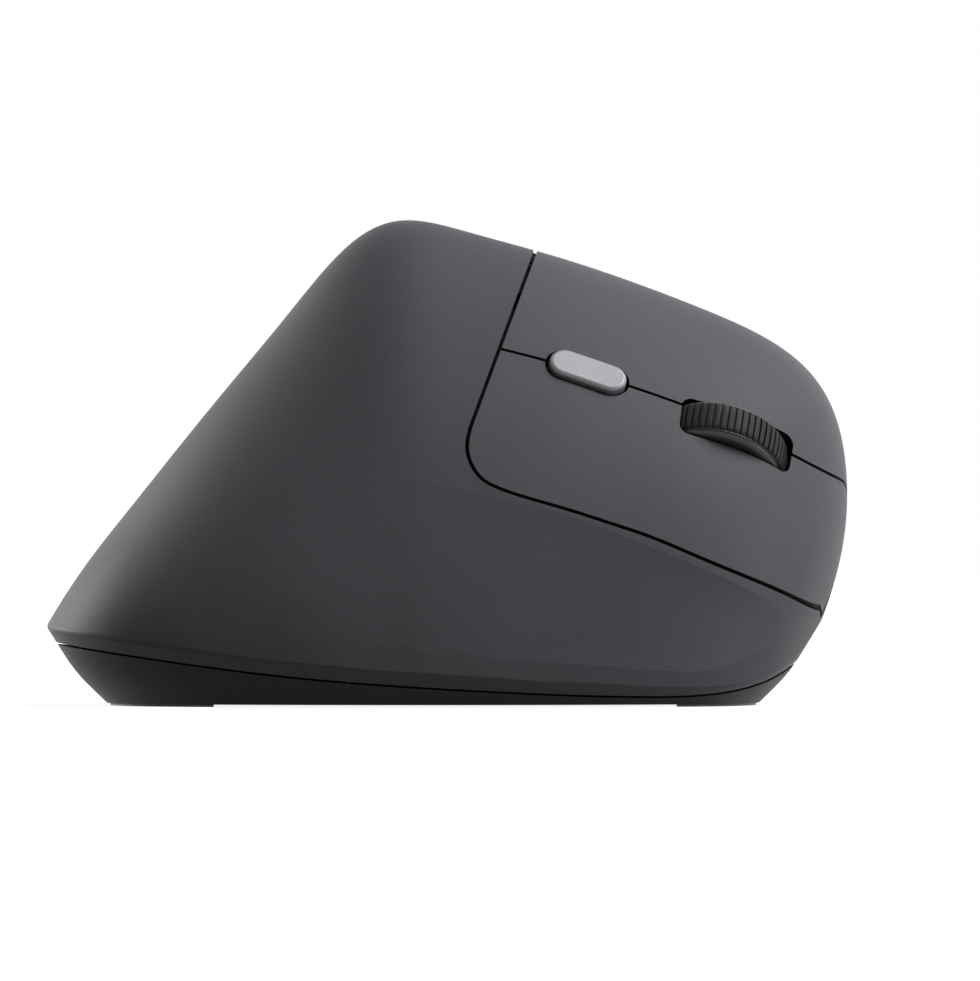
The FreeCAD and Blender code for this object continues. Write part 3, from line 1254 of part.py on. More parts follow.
# Check and write
doc.recompute()
faults = [o.Name for o in doc.Objects if "Invalid" in o.State or "Error" in o.State]
if faults:
    raise RuntimeError("failed: " + ", ".join(faults))
for name, node in nodes.items():
    if node.Shape.isNull() or not node.Shape.isValid():
        raise RuntimeError("bad shape: " + name)
os.makedirs("parts", exist_ok=True)
for name, node in nodes.items():
    node.Shape.exportStep("parts/%s.step" % name)
print("%d nodes" % len(nodes))
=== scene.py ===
"""Upright mouse for the right hand, dressed over its fixed frame."""

import json
import math

import bpy
from mathutils import Matrix, Vector


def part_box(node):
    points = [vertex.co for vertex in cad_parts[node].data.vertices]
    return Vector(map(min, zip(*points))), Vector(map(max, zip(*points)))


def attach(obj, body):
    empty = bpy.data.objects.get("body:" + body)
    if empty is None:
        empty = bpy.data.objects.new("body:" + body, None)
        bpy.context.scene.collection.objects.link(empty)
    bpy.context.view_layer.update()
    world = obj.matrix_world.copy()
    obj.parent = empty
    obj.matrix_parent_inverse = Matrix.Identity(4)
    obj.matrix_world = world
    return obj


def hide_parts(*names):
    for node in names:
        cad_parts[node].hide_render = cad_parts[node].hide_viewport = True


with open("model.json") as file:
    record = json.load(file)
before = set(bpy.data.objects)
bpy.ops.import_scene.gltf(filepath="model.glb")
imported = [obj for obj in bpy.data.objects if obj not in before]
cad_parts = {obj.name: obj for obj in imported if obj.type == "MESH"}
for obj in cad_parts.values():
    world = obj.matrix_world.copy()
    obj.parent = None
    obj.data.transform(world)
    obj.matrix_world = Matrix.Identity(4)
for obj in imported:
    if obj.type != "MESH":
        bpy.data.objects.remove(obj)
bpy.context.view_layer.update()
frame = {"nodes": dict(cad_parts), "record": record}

bl_info = {
    "name": "Upright Mouse",
    "version": (1, 0, 0),
    "blender": (4, 5, 0),
    "location": "View3D > Sidebar > Upright Mouse",
    "description": "Builds the shell, click panels, wheel, buttons and finishes of an upright mouse",
    "category": "Object",
}

MM = 0.001

# How near counts as the same, and how sharp an edge stays an edge, in degrees
SAME_POINT = 0.001 * MM
SAME_SPUN_POINT = 0.0001 * MM
SAME_PLACE = 0.0005 * MM
SAME_CORNER = 0.005 * MM
END_BAND = 0.05 * MM
MOULDED_EDGE = 30.0
SPUN_EDGE = 40.0
BEVELLED_EDGE = 50.0

# Largest turn in degrees from face to face within one outer skin; faces past it get the painted seam
# shade.
# The cover's lips are rounded, and the walls of the click panels start at a sharp edge.
COVER_TURN = 45.0
PANEL_TURN = 20.0

# Tread: share of its half width and drop below its crown, from the inner edge to the crown
TREAD_SIDE = ((1.0, -2.2 * MM), (1.0, -0.50 * MM), (0.985, -0.36 * MM), (0.93, -0.22 * MM),
              (0.82, -0.12 * MM), (0.62, -0.06 * MM), (0.31, -0.015 * MM))
STEPS_PER_RIB = 3
GROOVE_REACH = 0.55 * MM
GROOVE_EDGE = 0.06 * MM

# Hub: an axle, a dish round it, a quarter dome and a lip that holds the tread
AXLE_RADIUS = 1.2 * MM
AXLE_EDGE = 0.1 * MM
DISH_DEPTH = 0.9 * MM
DISH_RADIUS = 5.8 * MM
DISH_RISE = ((0.5 * MM, 6.6 * MM), (0.06 * MM, 7.6 * MM))
DOME_START = 9.1 * MM
DOME_END = 10.34 * MM
DOME_STEP = 10
DOME_INSET = 0.12 * MM
LIP_RADIUS = 10.56 * MM
LIP_EDGE = (0.04 * MM, 0.05 * MM)
TREAD_PLAY = 0.01 * MM
TREAD_SEAT = 8.75 * MM
HUB_STEPS = 96

# Speed button: a cap with a peg that reaches down to its key
CAP_HEIGHT = 4.1 * MM
CORNER_SEGMENTS = 14
EDGE_SEGMENTS = 6
CAP_FLAT = 0.01 * MM
PEG_RADIUS = 1.3 * MM
PEG_EDGE = 0.15 * MM
PEG_ROOT = 0.2 * MM
PEG_ROOM = 0.5 * MM
PEG_SIDES = 24

# Finishes: the band covers a share of the cell, from its plus end
GRAIN_BUMP = 0.02 * MM
CELL_BAND_SHARE = 0.26
CELL_BAND_EDGE = 0.2 * MM
TINNED_PAD = (0.5, 0.5, 0.48)
RUBBED_JACKET = (0.35, 0.35, 0.36)
LENS_SHADES = ((0.80, 0.82, 0.84), (0.92, 0.93, 0.94))

# Stage, in metres: each lamp's name, place, side and the setting that holds its power
LAMPS = (("key_lamp", (0.05, 0.71, 1.08), 0.7, "key_light"),
         ("nose_lamp", (0.20, 1.16, 0.28), 0.5, "nose_light"),
         ("rear_lamp", (-0.81, -0.96, 0.37), 0.6, "rear_light"))
LAMP_AIM = (0.0, 0.0, 0.03)
PICTURE_MIDDLE = (0.0, 0.0062, 0.0321)
CAMERA_RISE = 0.006
SENSOR_WIDTH = 36.0
CLIP_START = 0.1
FLOOR_SIDE = 6.0
FLOOR_CUTS = 7


# Properties
def colour(name, description, default):
    return bpy.props.FloatVectorProperty(name=name, description=description, default=default,
                                         size=3, min=0.0, max=1.0, subtype="COLOR")


def length(name, description, default):
    return bpy.props.FloatProperty(name=name, description=description, default=default,
                                   min=0.0, soft_max=0.1, unit="LENGTH", subtype="DISTANCE")


def factor(name, description, default):
    return bpy.props.FloatProperty(name=name, description=description, default=default,
                                   min=0.0, max=1.0, subtype="FACTOR")


def power(name, description, default):
    return bpy.props.FloatProperty(name=name, description=description, default=default,
                                   min=0.0, unit="POWER")


class ShellSettings(bpy.types.PropertyGroup):
    housing_colour: colour("Housing", "Graphite plastic of the palm cover",
                           (0.095, 0.0935, 0.105))
    panel_colour: colour("Click panels", "Graphite plastic of the click panels",
                         (0.112, 0.1105, 0.123))
    base_colour: colour("Base", "Darker plastic of the base and battery door",
                        (0.032, 0.0315, 0.0372))
    # The inner frame's black is real; the same colour is also the painted shade on the seam walls,
    # standing in for the shadow inside the seams.
    inner_and_seam_shade_colour: colour("Inner frame", "Black plastic seen through the seams",
                         (0.008, 0.008, 0.009))
    roughness: factor("Roughness", "Roughness of the moulded texture", 0.52)
    grain: length("Grain", "Size of the grains of the moulded texture", 0.35 * MM)
    wear: factor("Wear", "How far hands have polished the finish", 0.35)


class WheelSettings(bpy.types.PropertyGroup):
    tread_colour: colour("Tread", "Dark rubber of the ribbed tread", (0.014, 0.014, 0.0155))
    hub_colour: colour("Hub", "Smooth dark plastic of the wheel's sides", (0.046, 0.046, 0.05))
    ribs: bpy.props.IntProperty(name="Ribs", description="Ribs around the tread", default=64,
                                min=12, max=120)
    radius: length("Radius", "Crown of the tread", 11.0 * MM)
    tread_width: length("Tread width", "Width of the rubber tread", 4.8 * MM)
    hub_width: length("Hub width", "Width over the domed sides of the hub", 6.4 * MM)
    groove_depth: length("Groove depth", "Depth of the grooves between the ribs", 0.45 * MM)


class ButtonSettings(bpy.types.PropertyGroup):
    silver_colour: colour("Silver", "Satin coating of the speed button and power slide",
                          (0.298, 0.296, 0.316))
    speed_length: length("Speed length", "Length of the speed button", 12.0 * MM)
    speed_width: length("Speed width", "Width of the speed button", 5.2 * MM)
    speed_edge: length("Speed edge", "Rounding around the top of the speed button", 0.6 * MM)


class InsideSettings(bpy.types.PropertyGroup):
    board_colour: colour("Boards", "Solder mask of the circuit boards", (0.012, 0.07, 0.03))
    jacket_colour: colour("Cell", "Plain jacket of the cell", (0.03, 0.05, 0.10))
    band_colour: colour("Cell band", "Band at the cell's plus end", (0.42, 0.22, 0.10))
    black_colour: colour("Black parts", "Switches, chips and the radio receiver",
                         (0.016, 0.016, 0.017))
    steel_colour: colour("Steel", "Rod, screws and contacts", (0.56, 0.57, 0.58))
    pad_colour: colour("Feet", "Slippery pads under the base", (0.02, 0.02, 0.022))


class StageSettings(bpy.types.PropertyGroup):
    floor_colour: colour("Floor", "Pale floor", (0.22, 0.22, 0.22))
    key_light: power("Key light", "Lamp over the nose", 15.0)
    nose_light: power("Nose light", "Low lamp before the nose", 3.6)
    rear_light: power("Rear light", "Lamp behind the thumb side", 11.0)
    ambient: factor("Ambient", "Light of the pale room", 0.015)
    distance: bpy.props.FloatProperty(name="Camera distance", description="Camera to the mouse",
                                      default=3.0, min=0.1, unit="LENGTH")
    width: length("Frame width", "Width that the picture takes in at the mouse", 147.0 * MM)


SETTINGS = (("mouse_shell", ShellSettings), ("mouse_wheel", WheelSettings),
            ("mouse_buttons", ButtonSettings), ("mouse_inside", InsideSettings),
            ("mouse_stage", StageSettings))


# Working with objects
def let_go():
    """Leaves nothing selected, in object mode."""
    if bpy.context.view_layer.objects.active and bpy.context.object.mode != "OBJECT":
        bpy.ops.object.mode_set(mode="OBJECT")
    bpy.ops.object.select_all(action="DESELECT")


def take(piece):
    """Leaves one piece selected and active."""
    let_go()
    piece.select_set(True)
    bpy.context.view_layer.objects.active = piece


def name_new(name):
    """Names the piece that has just been added."""
    piece = bpy.context.view_layer.objects.active
    piece.name = name
    piece.data.name = name
    return piece


def apply_modifier(piece, kind, **settings):
    take(piece)
    modifier = piece.modifiers.new(kind.lower(), kind)
    for key, value in settings.items():
        setattr(modifier, key, value)
    bpy.ops.object.modifier_apply(modifier=modifier.name)


def smooth(piece, angle=MOULDED_EDGE):
    """Shades a piece smooth, except across edges sharper than an angle in degrees."""
    take(piece)
    bpy.ops.object.shade_smooth_by_angle(angle=math.radians(angle))


def settle(piece, place=Matrix.Identity(4)):
    """Puts the piece in its place and leaves the place in its mesh."""
    piece.matrix_world = place @ piece.matrix_world
    take(piece)
    bpy.ops.object.transform_apply(location=True, rotation=True, scale=True)


def pick(piece, kind, test):
    """Selects the faces, edges or points that pass a test."""
    take(piece)
    bpy.ops.object.mode_set(mode="EDIT")
    bpy.ops.mesh.select_mode(type=kind)
    bpy.ops.mesh.select_all(action="DESELECT")
    bpy.ops.object.mode_set(mode="OBJECT")
    mesh = piece.data
    for part in {"FACE": mesh.polygons, "EDGE": mesh.edges, "VERT": mesh.vertices}[kind]:
        part.select = test(part)
    bpy.ops.object.mode_set(mode="EDIT")


def merge_points(piece, distance, face_out=False):
    """Joins the points that lie together, and can turn the faces outwards as well."""
    take(piece)
    bpy.ops.object.mode_set(mode="EDIT")
    bpy.ops.mesh.select_all(action="SELECT")
    bpy.ops.mesh.remove_doubles(threshold=distance)
    if face_out:
        bpy.ops.mesh.normals_make_consistent(inside=False)
    bpy.ops.object.mode_set(mode="OBJECT")


def place_key(face):
    """A face's middle, rounded so that it can be looked up."""
    return tuple(round(part / SAME_PLACE) for part in face.center)


def true_slopes(mesh):
    """For each face, by its middle: the place and the surface's true slope at each corner."""
    return {place_key(face): [(mesh.vertices[mesh.loops[i].vertex_index].co.copy(),
                               mesh.loops[i].normal.copy()) for i in face.loop_indices]
            for face in mesh.polygons}


def joined_copy(node, name):
    """A copy of a CAD node with its loose triangles joined, and the true slopes of its surfaces."""
    source = frame["nodes"][node].data
    slopes = true_slopes(source)
    piece = bpy.data.objects.new(name, source.copy())
    bpy.context.scene.collection.objects.link(piece)
    merge_points(piece, SAME_POINT)
    smooth(piece)
    mesh = piece.data
    kept = [Vector()] * len(mesh.loops)
    for face in mesh.polygons:
        known = slopes.get(place_key(face), ())
        for i in face.loop_indices:
            place = mesh.vertices[mesh.loops[i].vertex_index].co
            for point, slope in known:
                if (point - place).length < SAME_CORNER:
                    kept[i] = slope
    mesh.normals_split_custom_set(kept)
    mesh.materials.clear()
    return piece


def body_of(node):
    """The moving body that holds a CAD node."""
    for body, nodes in frame["record"]["behaviour"]["bodies"].items():
        if node in nodes:
            return body
    raise ValueError("no body holds " + node)


def dress(piece, material, node):
    """Gives a new piece its finish, and lets it stand for a CAD node and move with its body."""
    piece.data.materials.clear()
    piece.data.materials.append(material)
    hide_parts(node)
    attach(piece, body_of(node))


def outer_skin(mesh, outward, turn):
    """The faces that run on smoothly from the outermost one, each within a turn of the last."""
    corners = mesh.corner_normals
    slopes = [sum((corners[i].vector for i in face.loop_indices), Vector())
              for face in mesh.polygons]
    beside = {}
    for face in mesh.polygons:
        for edge in face.edge_keys:
            beside.setdefault(edge, []).append(face.index)
    start = max(mesh.polygons, key=lambda face: face.center.dot(outward)).index
    skin = {start}
    ahead = [start]
    while ahead:
        here = ahead.pop()
        for edge in mesh.polygons[here].edge_keys:
            for other in beside[edge]:
                if other not in skin and slopes[here].angle(slopes[other], math.pi) < turn:
                    skin.add(other)
                    ahead.append(other)
    return skin


def paint_seam_shade(piece, material, outward, degrees):
    """Keeps the finish on the outer skin, and gives the walls of its seams a near-black painted
    shade, which stands in for the shadow inside the seams.
    """
    piece.data.materials.append(material)
    skin = outer_skin(piece.data, outward, math.radians(degrees))
    for face in piece.data.polygons:
        if face.index not in skin:
            face.material_index = 1


def finish_node(node, material):
    """Gives a CAD node its finish and leaves its shape alone."""
    piece = frame["nodes"][node]
    if not piece.material_slots:
        piece.data.materials.append(material)
    for slot in piece.material_slots:
        slot.material = material


def joint(name):
    return next(j for j in frame["record"]["behaviour"]["joints"] if j["name"] == name)


def upward(press):
    """The way out of the housing, against the push of a joint."""
    return -Vector(joint(press)["axis"]).normalized()


def spun(name, profile, steps):
    """A closed ring spun about X from points of its section, each across and out."""
    let_go()
    bpy.ops.mesh.primitive_plane_add(size=MM)
    piece = name_new(name)
    bpy.ops.object.mode_set(mode="EDIT")
    bpy.ops.mesh.select_mode(type="VERT")
    bpy.ops.mesh.select_all(action="SELECT")
    bpy.ops.mesh.merge(type="CENTER")
    here = Vector((profile[0][0], 0.0, profile[0][1]))
    bpy.ops.transform.translate(value=here)
    for across, out in profile[1:]:
        point = Vector((across, 0.0, out))
        bpy.ops.mesh.extrude_region_move(TRANSFORM_OT_translate={"value": point - here})
        here = point
    bpy.ops.mesh.select_all(action="SELECT")
    bpy.ops.mesh.spin(steps=steps, angle=2 * math.pi, center=(0, 0, 0), axis=(1, 0, 0))
    bpy.ops.object.mode_set(mode="OBJECT")
    merge_points(piece, SAME_SPUN_POINT, face_out=True)
    return piece


# Finishes
def new_node(tree, kind, **inputs):
    node = tree.nodes.new(kind)
    for key, value in inputs.items():
        node.inputs[key.replace("_", " ")].default_value = value
    return node


def noise(tree, coordinates, scale, detail=2.0, stretch=None):
    """Noise in the piece's own coordinates; a stretch draws it out along an axis."""
    source = coordinates
    if stretch:
        mapping = new_node(tree, "ShaderNodeMapping", Scale=stretch)
        tree.links.new(coordinates, mapping.inputs["Vector"])
        source = mapping.outputs["Vector"]
    node = new_node(tree, "ShaderNodeTexNoise", Scale=scale, Detail=detail)
    tree.links.new(source, node.inputs["Vector"])
    return node.outputs["Fac"]


def cells(tree, coordinates, scale):
    """Distance to the nearest of many scattered points."""
    node = new_node(tree, "ShaderNodeTexVoronoi", Scale=scale)
    tree.links.new(coordinates, node.inputs["Vector"])
    return node.outputs["Distance"]


def ranged(tree, value, seen, wanted):
    """Carries a value from the range that is seen to the range that is wanted."""
    node = new_node(tree, "ShaderNodeMapRange", From_Min=seen[0], From_Max=seen[1],
                    To_Min=wanted[0], To_Max=wanted[1])
    tree.links.new(value, node.inputs["Value"])
    return node.outputs["Result"]


def combined(tree, operation, first, second):
    node = tree.nodes.new("ShaderNodeMath")
    node.operation = operation
    tree.links.new(first, node.inputs[0])
    tree.links.new(second, node.inputs[1])
    return node.outputs["Value"]


def blended(tree, share, first, second):
    """A colour between two others, which are shades or colour sockets."""
    node = tree.nodes.new("ShaderNodeMix")
    node.data_type = "RGBA"
    tree.links.new(share, node.inputs["Factor"])
    for key, value in (("A", first), ("B", second)):
        socket = next(s for s in node.inputs if s.name == key and s.type == "RGBA")
        if isinstance(value, bpy.types.NodeSocket):
            tree.links.new(value, socket)
        else:
            socket.default_value = (*value, 1.0)
    return next(s for s in node.outputs if s.type == "RGBA")


def lighter(shade, by):
    return tuple(min(1.0, part * by) for part in shade)


def new_finish(name):
    """A new material with its node tree, its shader and the piece's own coordinates."""
    material = bpy.data.materials.new(name)
    material.use_nodes = True
    tree = material.node_tree
    shader = tree.nodes["Principled BSDF"]
    coordinates = tree.nodes.new("ShaderNodeTexCoord").outputs["Object"]
    return material, tree, shader, coordinates


def drive(tree, shader, **sockets):
    """Links or sets the shader's inputs."""
    for key, value in sockets.items():
        socket = shader.inputs[key.replace("_", " ")]
        if isinstance(value, bpy.types.NodeSocket):
            tree.links.new(value, socket)
        else:
            socket.default_value = value


def raise_bump(tree, shader, height, distance, strength):
    bump = new_node(tree, "ShaderNodeBump", Distance=distance, Strength=strength)
    tree.links.new(height, bump.inputs["Height"])
    tree.links.new(bump.outputs["Normal"], shader.inputs["Normal"])


def moulded_plastic(name, shade, roughness, grain, wear, depth=GRAIN_BUMP, specular=0.09):
    """Matte plastic from a textured mould: fine grains, faint clouding, patches rubbed smoother."""
    material, tree, shader, coordinates = new_finish(name)
    grains = noise(tree, coordinates, scale=1.0 / grain, detail=3.0)
    clouds = noise(tree, coordinates, scale=55.0, detail=3.0)
    specks = noise(tree, coordinates, scale=2600.0, detail=1.0)
    rubbed = noise(tree, coordinates, scale=28.0)
    tint = blended(tree, clouds, lighter(shade, 0.93), lighter(shade, 1.07))
    tint = blended(tree, ranged(tree, specks, (0.62, 0.80), (0.0, 0.35)), tint, lighter(shade, 1.5))
    dull = ranged(tree, grains, (0.3, 0.7), (roughness - 0.05, roughness + 0.05))
    polish = ranged(tree, rubbed, (0.5, 0.75), (0.0, 0.22 * wear))
    drive(tree, shader, Base_Color=tint, Roughness=combined(tree, "SUBTRACT", dull, polish),
          Specular_IOR_Level=specular)
    height = combined(tree, "ADD", grains, ranged(tree, specks, (0.4, 0.7), (0.0, 0.25)))
    raise_bump(tree, shader, height, distance=depth, strength=0.6)
    return material


def worn_rubber(name, shade):
    """Dull rubber with random patches of dust, lighter and a little rougher than the rest."""
    material, tree, shader, coordinates = new_finish(name)
    dust = noise(tree, coordinates, scale=420.0, detail=3.0)
    pores = noise(tree, coordinates, scale=5200.0)
    tint = blended(tree, ranged(tree, dust, (0.35, 0.7), (0.0, 1.0)), lighter(shade, 0.85),
                   lighter(shade, 1.3))
    drive(tree, shader, Base_Color=tint, Specular_IOR_Level=0.2,
          Roughness=ranged(tree, dust, (0.3, 0.7), (0.48, 0.66)))
    raise_bump(tree, shader, pores, distance=0.01 * MM, strength=0.6)
    return material


def satin_coat(name, shade):
    """Silver satin coating over plastic, with fine flakes and a thin clear coat."""
    material, tree, shader, coordinates = new_finish(name)
    flakes = cells(tree, coordinates, scale=5200.0)
    sparkle = ranged(tree, flakes, (0.1, 0.7), (0.0, 1.0))
    clouds = noise(tree, coordinates, scale=160.0)
    tint = blended(tree, sparkle, lighter(shade, 1.06), lighter(shade, 0.94))
    tint = blended(tree, ranged(tree, clouds, (0.4, 0.7), (0.0, 0.25)), tint, lighter(shade, 0.86))
    drive(tree, shader, Base_Color=tint, Metallic=0.2, Specular_IOR_Level=0.4, Coat_Weight=0.1,
          Coat_Roughness=0.3, Roughness=ranged(tree, clouds, (0.3, 0.7), (0.36, 0.46)))
    raise_bump(tree, shader, flakes, distance=0.006 * MM, strength=0.4)
    return material


def plated_steel(name, shade):
    """Plated steel with fine drawing lines and small dull spots."""
    material, tree, shader, coordinates = new_finish(name)
    lines = noise(tree, coordinates, scale=900.0, stretch=(0.15, 1.0, 1.0))
    spots = noise(tree, coordinates, scale=700.0, detail=3.0)
    tint = blended(tree, ranged(tree, spots, (0.5, 0.75), (0.0, 0.6)), shade, lighter(shade, 0.6))
    drawn = ranged(tree, lines, (0.3, 0.7), (0.2, 0.34))
    dull = ranged(tree, spots, (0.5, 0.8), (0.0, 0.25))
    drive(tree, shader, Base_Color=tint, Metallic=1.0,
          Roughness=combined(tree, "ADD", drawn, dull))
    raise_bump(tree, shader, lines, distance=0.008 * MM, strength=0.5)
    return material


def solder_mask(name, shade):
    """Circuit board: glossy mask over a maze of tracks, with tinned pads between them."""
    material, tree, shader, coordinates = new_finish(name)
    tracks = new_node(tree, "ShaderNodeTexBrick", Scale=320.0, Mortar_Size=0.06,
                      Color1=(*lighter(shade, 1.25), 1.0), Color2=(*lighter(shade, 0.9), 1.0),
                      Mortar=(*lighter(shade, 0.55), 1.0))
    tree.links.new(coordinates, tracks.inputs["Vector"])
    tinned = ranged(tree, cells(tree, coordinates, scale=380.0), (0.10, 0.14), (1.0, 0.0))
    drive(tree, shader, Base_Color=blended(tree, tinned, tracks.outputs["Color"], TINNED_PAD),
          Roughness=ranged(tree, tinned, (0.0, 1.0), (0.3, 0.22)),
          Metallic=ranged(tree, tinned, (0.0, 1.0), (0.0, 0.9)))
    raise_bump(tree, shader, tracks.outputs["Fac"], distance=0.03 * MM, strength=0.6)
    return material


def clear_plastic(name):
    """Clear moulded lens with faint flow lines and a fine haze."""
    material, tree, shader, coordinates = new_finish(name)
    flow = noise(tree, coordinates, scale=700.0, stretch=(1.0, 0.2, 1.0))
    drive(tree, shader, Base_Color=blended(tree, flow, *LENS_SHADES),
          Roughness=ranged(tree, flow, (0.3, 0.7), (0.04, 0.12)), Transmission_Weight=0.9, IOR=1.49)
    raise_bump(tree, shader, flow, distance=0.01 * MM, strength=0.3)
    return material


def cell_jacket(name, shade, band, band_start):
    """Plain printed jacket, with a band at the plus end and rub marks along its length."""
    material, tree, shader, coordinates = new_finish(name)
    parts = tree.nodes.new("ShaderNodeSeparateXYZ")
    tree.links.new(coordinates, parts.inputs["Vector"])
    banded = ranged(tree, parts.outputs["X"],
                    (band_start - CELL_BAND_EDGE, band_start + CELL_BAND_EDGE), (0.0, 1.0))
    rubs = noise(tree, coordinates, scale=500.0, detail=3.0, stretch=(0.1, 1.0, 1.0))
    tint = blended(tree, banded, shade, band)
    tint = blended(tree, ranged(tree, rubs, (0.6, 0.8), (0.0, 0.5)), tint, RUBBED_JACKET)
    drive(tree, shader, Base_Color=tint, Metallic=0.4,
          Roughness=ranged(tree, rubs, (0.3, 0.7), (0.25, 0.42)))
    raise_bump(tree, shader, rubs, distance=0.01 * MM, strength=0.4)
    return material


def slippery_pad(name, shade):
    """Low-friction pad, brushed by sliding from side to side and nose to tail."""
    material, tree, shader, coordinates = new_finish(name)
    sideways = noise(tree, coordinates, scale=900.0, stretch=(0.08, 1.0, 1.0))
    lengthways = noise(tree, coordinates, scale=700.0, stretch=(1.0, 0.08, 1.0))
    scuffs = combined(tree, "MAXIMUM", sideways, lengthways)
    tint = blended(tree, ranged(tree, scuffs, (0.6, 0.8), (0.0, 0.6)), shade, lighter(shade, 3.0))
    drive(tree, shader, Base_Color=tint, Roughness=ranged(tree, scuffs, (0.4, 0.8), (0.38, 0.6)))
    raise_bump(tree, shader, scuffs, distance=0.008 * MM, strength=0.5)
    return material


def seen_rays(tree):
    """One for rays that come straight from the camera, a reflection or a clear piece."""
    paths = tree.nodes.new("ShaderNodeLightPath")
    seen = combined(tree, "MAXIMUM", paths.outputs["Is Camera Ray"], paths.outputs["Is Glossy Ray"])
    return combined(tree, "MAXIMUM", seen, paths.outputs["Is Transmission Ray"])


def pale_floor(name, shade):
    """Pale floor that looks as white as the room, and keeps the shadow of what stands on it."""
    material, tree, shader, coordinates = new_finish(name)
    clouds = noise(tree, coordinates, scale=3.0)
    drive(tree, shader, Base_Color=blended(tree, clouds, lighter(shade, 0.99), lighter(shade, 1.01)),
          Roughness=0.8, Specular_IOR_Level=0.1)
    distance = tree.nodes.new("ShaderNodeVectorMath")
    distance.operation = "LENGTH"
    tree.links.new(coordinates, distance.inputs[0])
    shine = ranged(tree, distance.outputs["Value"], (0.12, 0.6), (0.86, 1.0))
    glow = tree.nodes.new("ShaderNodeEmission")
    tree.links.new(combined(tree, "MULTIPLY", seen_rays(tree), shine), glow.inputs["Strength"])
    mix = tree.nodes.new("ShaderNodeAddShader")
    tree.links.new(shader.outputs["BSDF"], mix.inputs[0])
    tree.links.new(glow.outputs["Emission"], mix.inputs[1])
    tree.links.new(mix.outputs["Shader"], tree.nodes["Material Output"].inputs["Surface"])
    return material


# Operators
class MOUSE_OT_stage(bpy.types.Operator):
    """Pale floor and room, three soft lamps and the camera"""
    bl_idname = "mouse.stage"
    bl_label = "Stage"

    def execute(self, context):
        stage = context.scene.mouse_stage
        self.floor(stage)
        self.room(context, stage)
        for name, place, side, setting in LAMPS:
            self.lamp(name, place, side, getattr(stage, setting))
        self.camera(context, stage)
        context.scene.view_settings.view_transform = "Standard"
        return {"FINISHED"}

    def floor(self, stage):
        let_go()
        bpy.ops.mesh.primitive_plane_add(size=FLOOR_SIDE)
        floor = name_new("floor")
        bpy.ops.object.mode_set(mode="EDIT")
        bpy.ops.mesh.subdivide(number_cuts=FLOOR_CUTS)
        bpy.ops.object.mode_set(mode="OBJECT")
        floor.data.materials.append(pale_floor("pale_floor", stage.floor_colour))

    def room(self, context, stage):
        world = bpy.data.worlds.new("pale_room")
        context.scene.world = world
        world.use_nodes = True
        tree = world.node_tree
        strength = ranged(tree, seen_rays(tree), (0.0, 1.0), (stage.ambient, 1.0))
        background = tree.nodes["Background"]
        background.inputs["Color"].default_value = (1.0, 1.0, 1.0, 1.0)
        tree.links.new(strength, background.inputs["Strength"])

    def lamp(self, name, place, side, energy):
        let_go()
        bpy.ops.object.light_add(type="AREA", location=place)
        lamp = bpy.context.object
        lamp.name = name
        lamp.data.size = side
        lamp.data.energy = energy
        lamp.rotation_mode = "QUATERNION"
        lamp.rotation_quaternion = (Vector(LAMP_AIM) - Vector(place)).to_track_quat("-Z", "Y")

    def camera(self, context, stage):
        middle = Vector(PICTURE_MIDDLE)
        eye = middle + Vector((stage.distance, 0.0, CAMERA_RISE))
        bpy.ops.object.camera_add(location=eye)
        camera = context.object
        camera.rotation_mode = "QUATERNION"
        camera.rotation_quaternion = (middle - eye).to_track_quat("-Z", "Y")
        camera.data.sensor_width = SENSOR_WIDTH
        camera.data.lens = SENSOR_WIDTH * (eye - middle).length / stage.width
        camera.data.clip_start = CLIP_START
        context.scene.camera = camera


class MOUSE_OT_shell(bpy.types.Operator):
    """Palm cover, base and battery door, from the frame's own solids, with their moulded finish"""
    bl_idname = "mouse.shell"
    bl_label = "Cover and base"

    def execute(self, context):
        shell = context.scene.mouse_shell
        texture = (shell.roughness, shell.grain, shell.wear)
        cover = joined_copy("upper_cover", "palm_cover")
        dress(cover, moulded_plastic("housing_grain", shell.housing_colour, *texture),
              "upper_cover")
        # Painted shade: near-black on the cover's seam walls, standing in for the shadow inside the
        # seams.
        black = moulded_plastic("seam_black", shell.inner_and_seam_shade_colour, roughness=0.7, grain=shell.grain,
                                wear=0.1)
        paint_seam_shade(cover, black, Vector((0.0, 0.0, 1.0)), COVER_TURN)
        finish = moulded_plastic("base_grain", shell.base_colour, *texture)
        for node, name in (("base_case", "base_tray"), ("battery_door", "cell_door")):
            dress(joined_copy(node, name), finish, node)
        return {"FINISHED"}


class MOUSE_OT_click_panels(bpy.types.Operator):
    """The two click panels that follow the leaning skin, and the frame behind them"""
    bl_idname = "mouse.click_panels"
    bl_label = "Click panels"

    def execute(self, context):
        shell = context.scene.mouse_shell
        finish = moulded_plastic("panel_grain", shell.panel_colour, shell.roughness, shell.grain,
                                 shell.wear)
        for node, name in (("left_click_panel", "upper_click_panel"),
                           ("right_click_panel", "lower_click_panel")):
            panel = joined_copy(node, name)
            dress(panel, finish, node)
            # Painted shade: near-black on the panels' seam walls, standing in for the shadow inside
            # the seams.
            paint_seam_shade(panel, bpy.data.materials["seam_black"], upward("wheel_press"), PANEL_TURN)
        finish_node("inner_frame", moulded_plastic("inner_black", shell.inner_and_seam_shade_colour, roughness=0.6,
                                                   grain=shell.grain, wear=0.1))
        return {"FINISHED"}


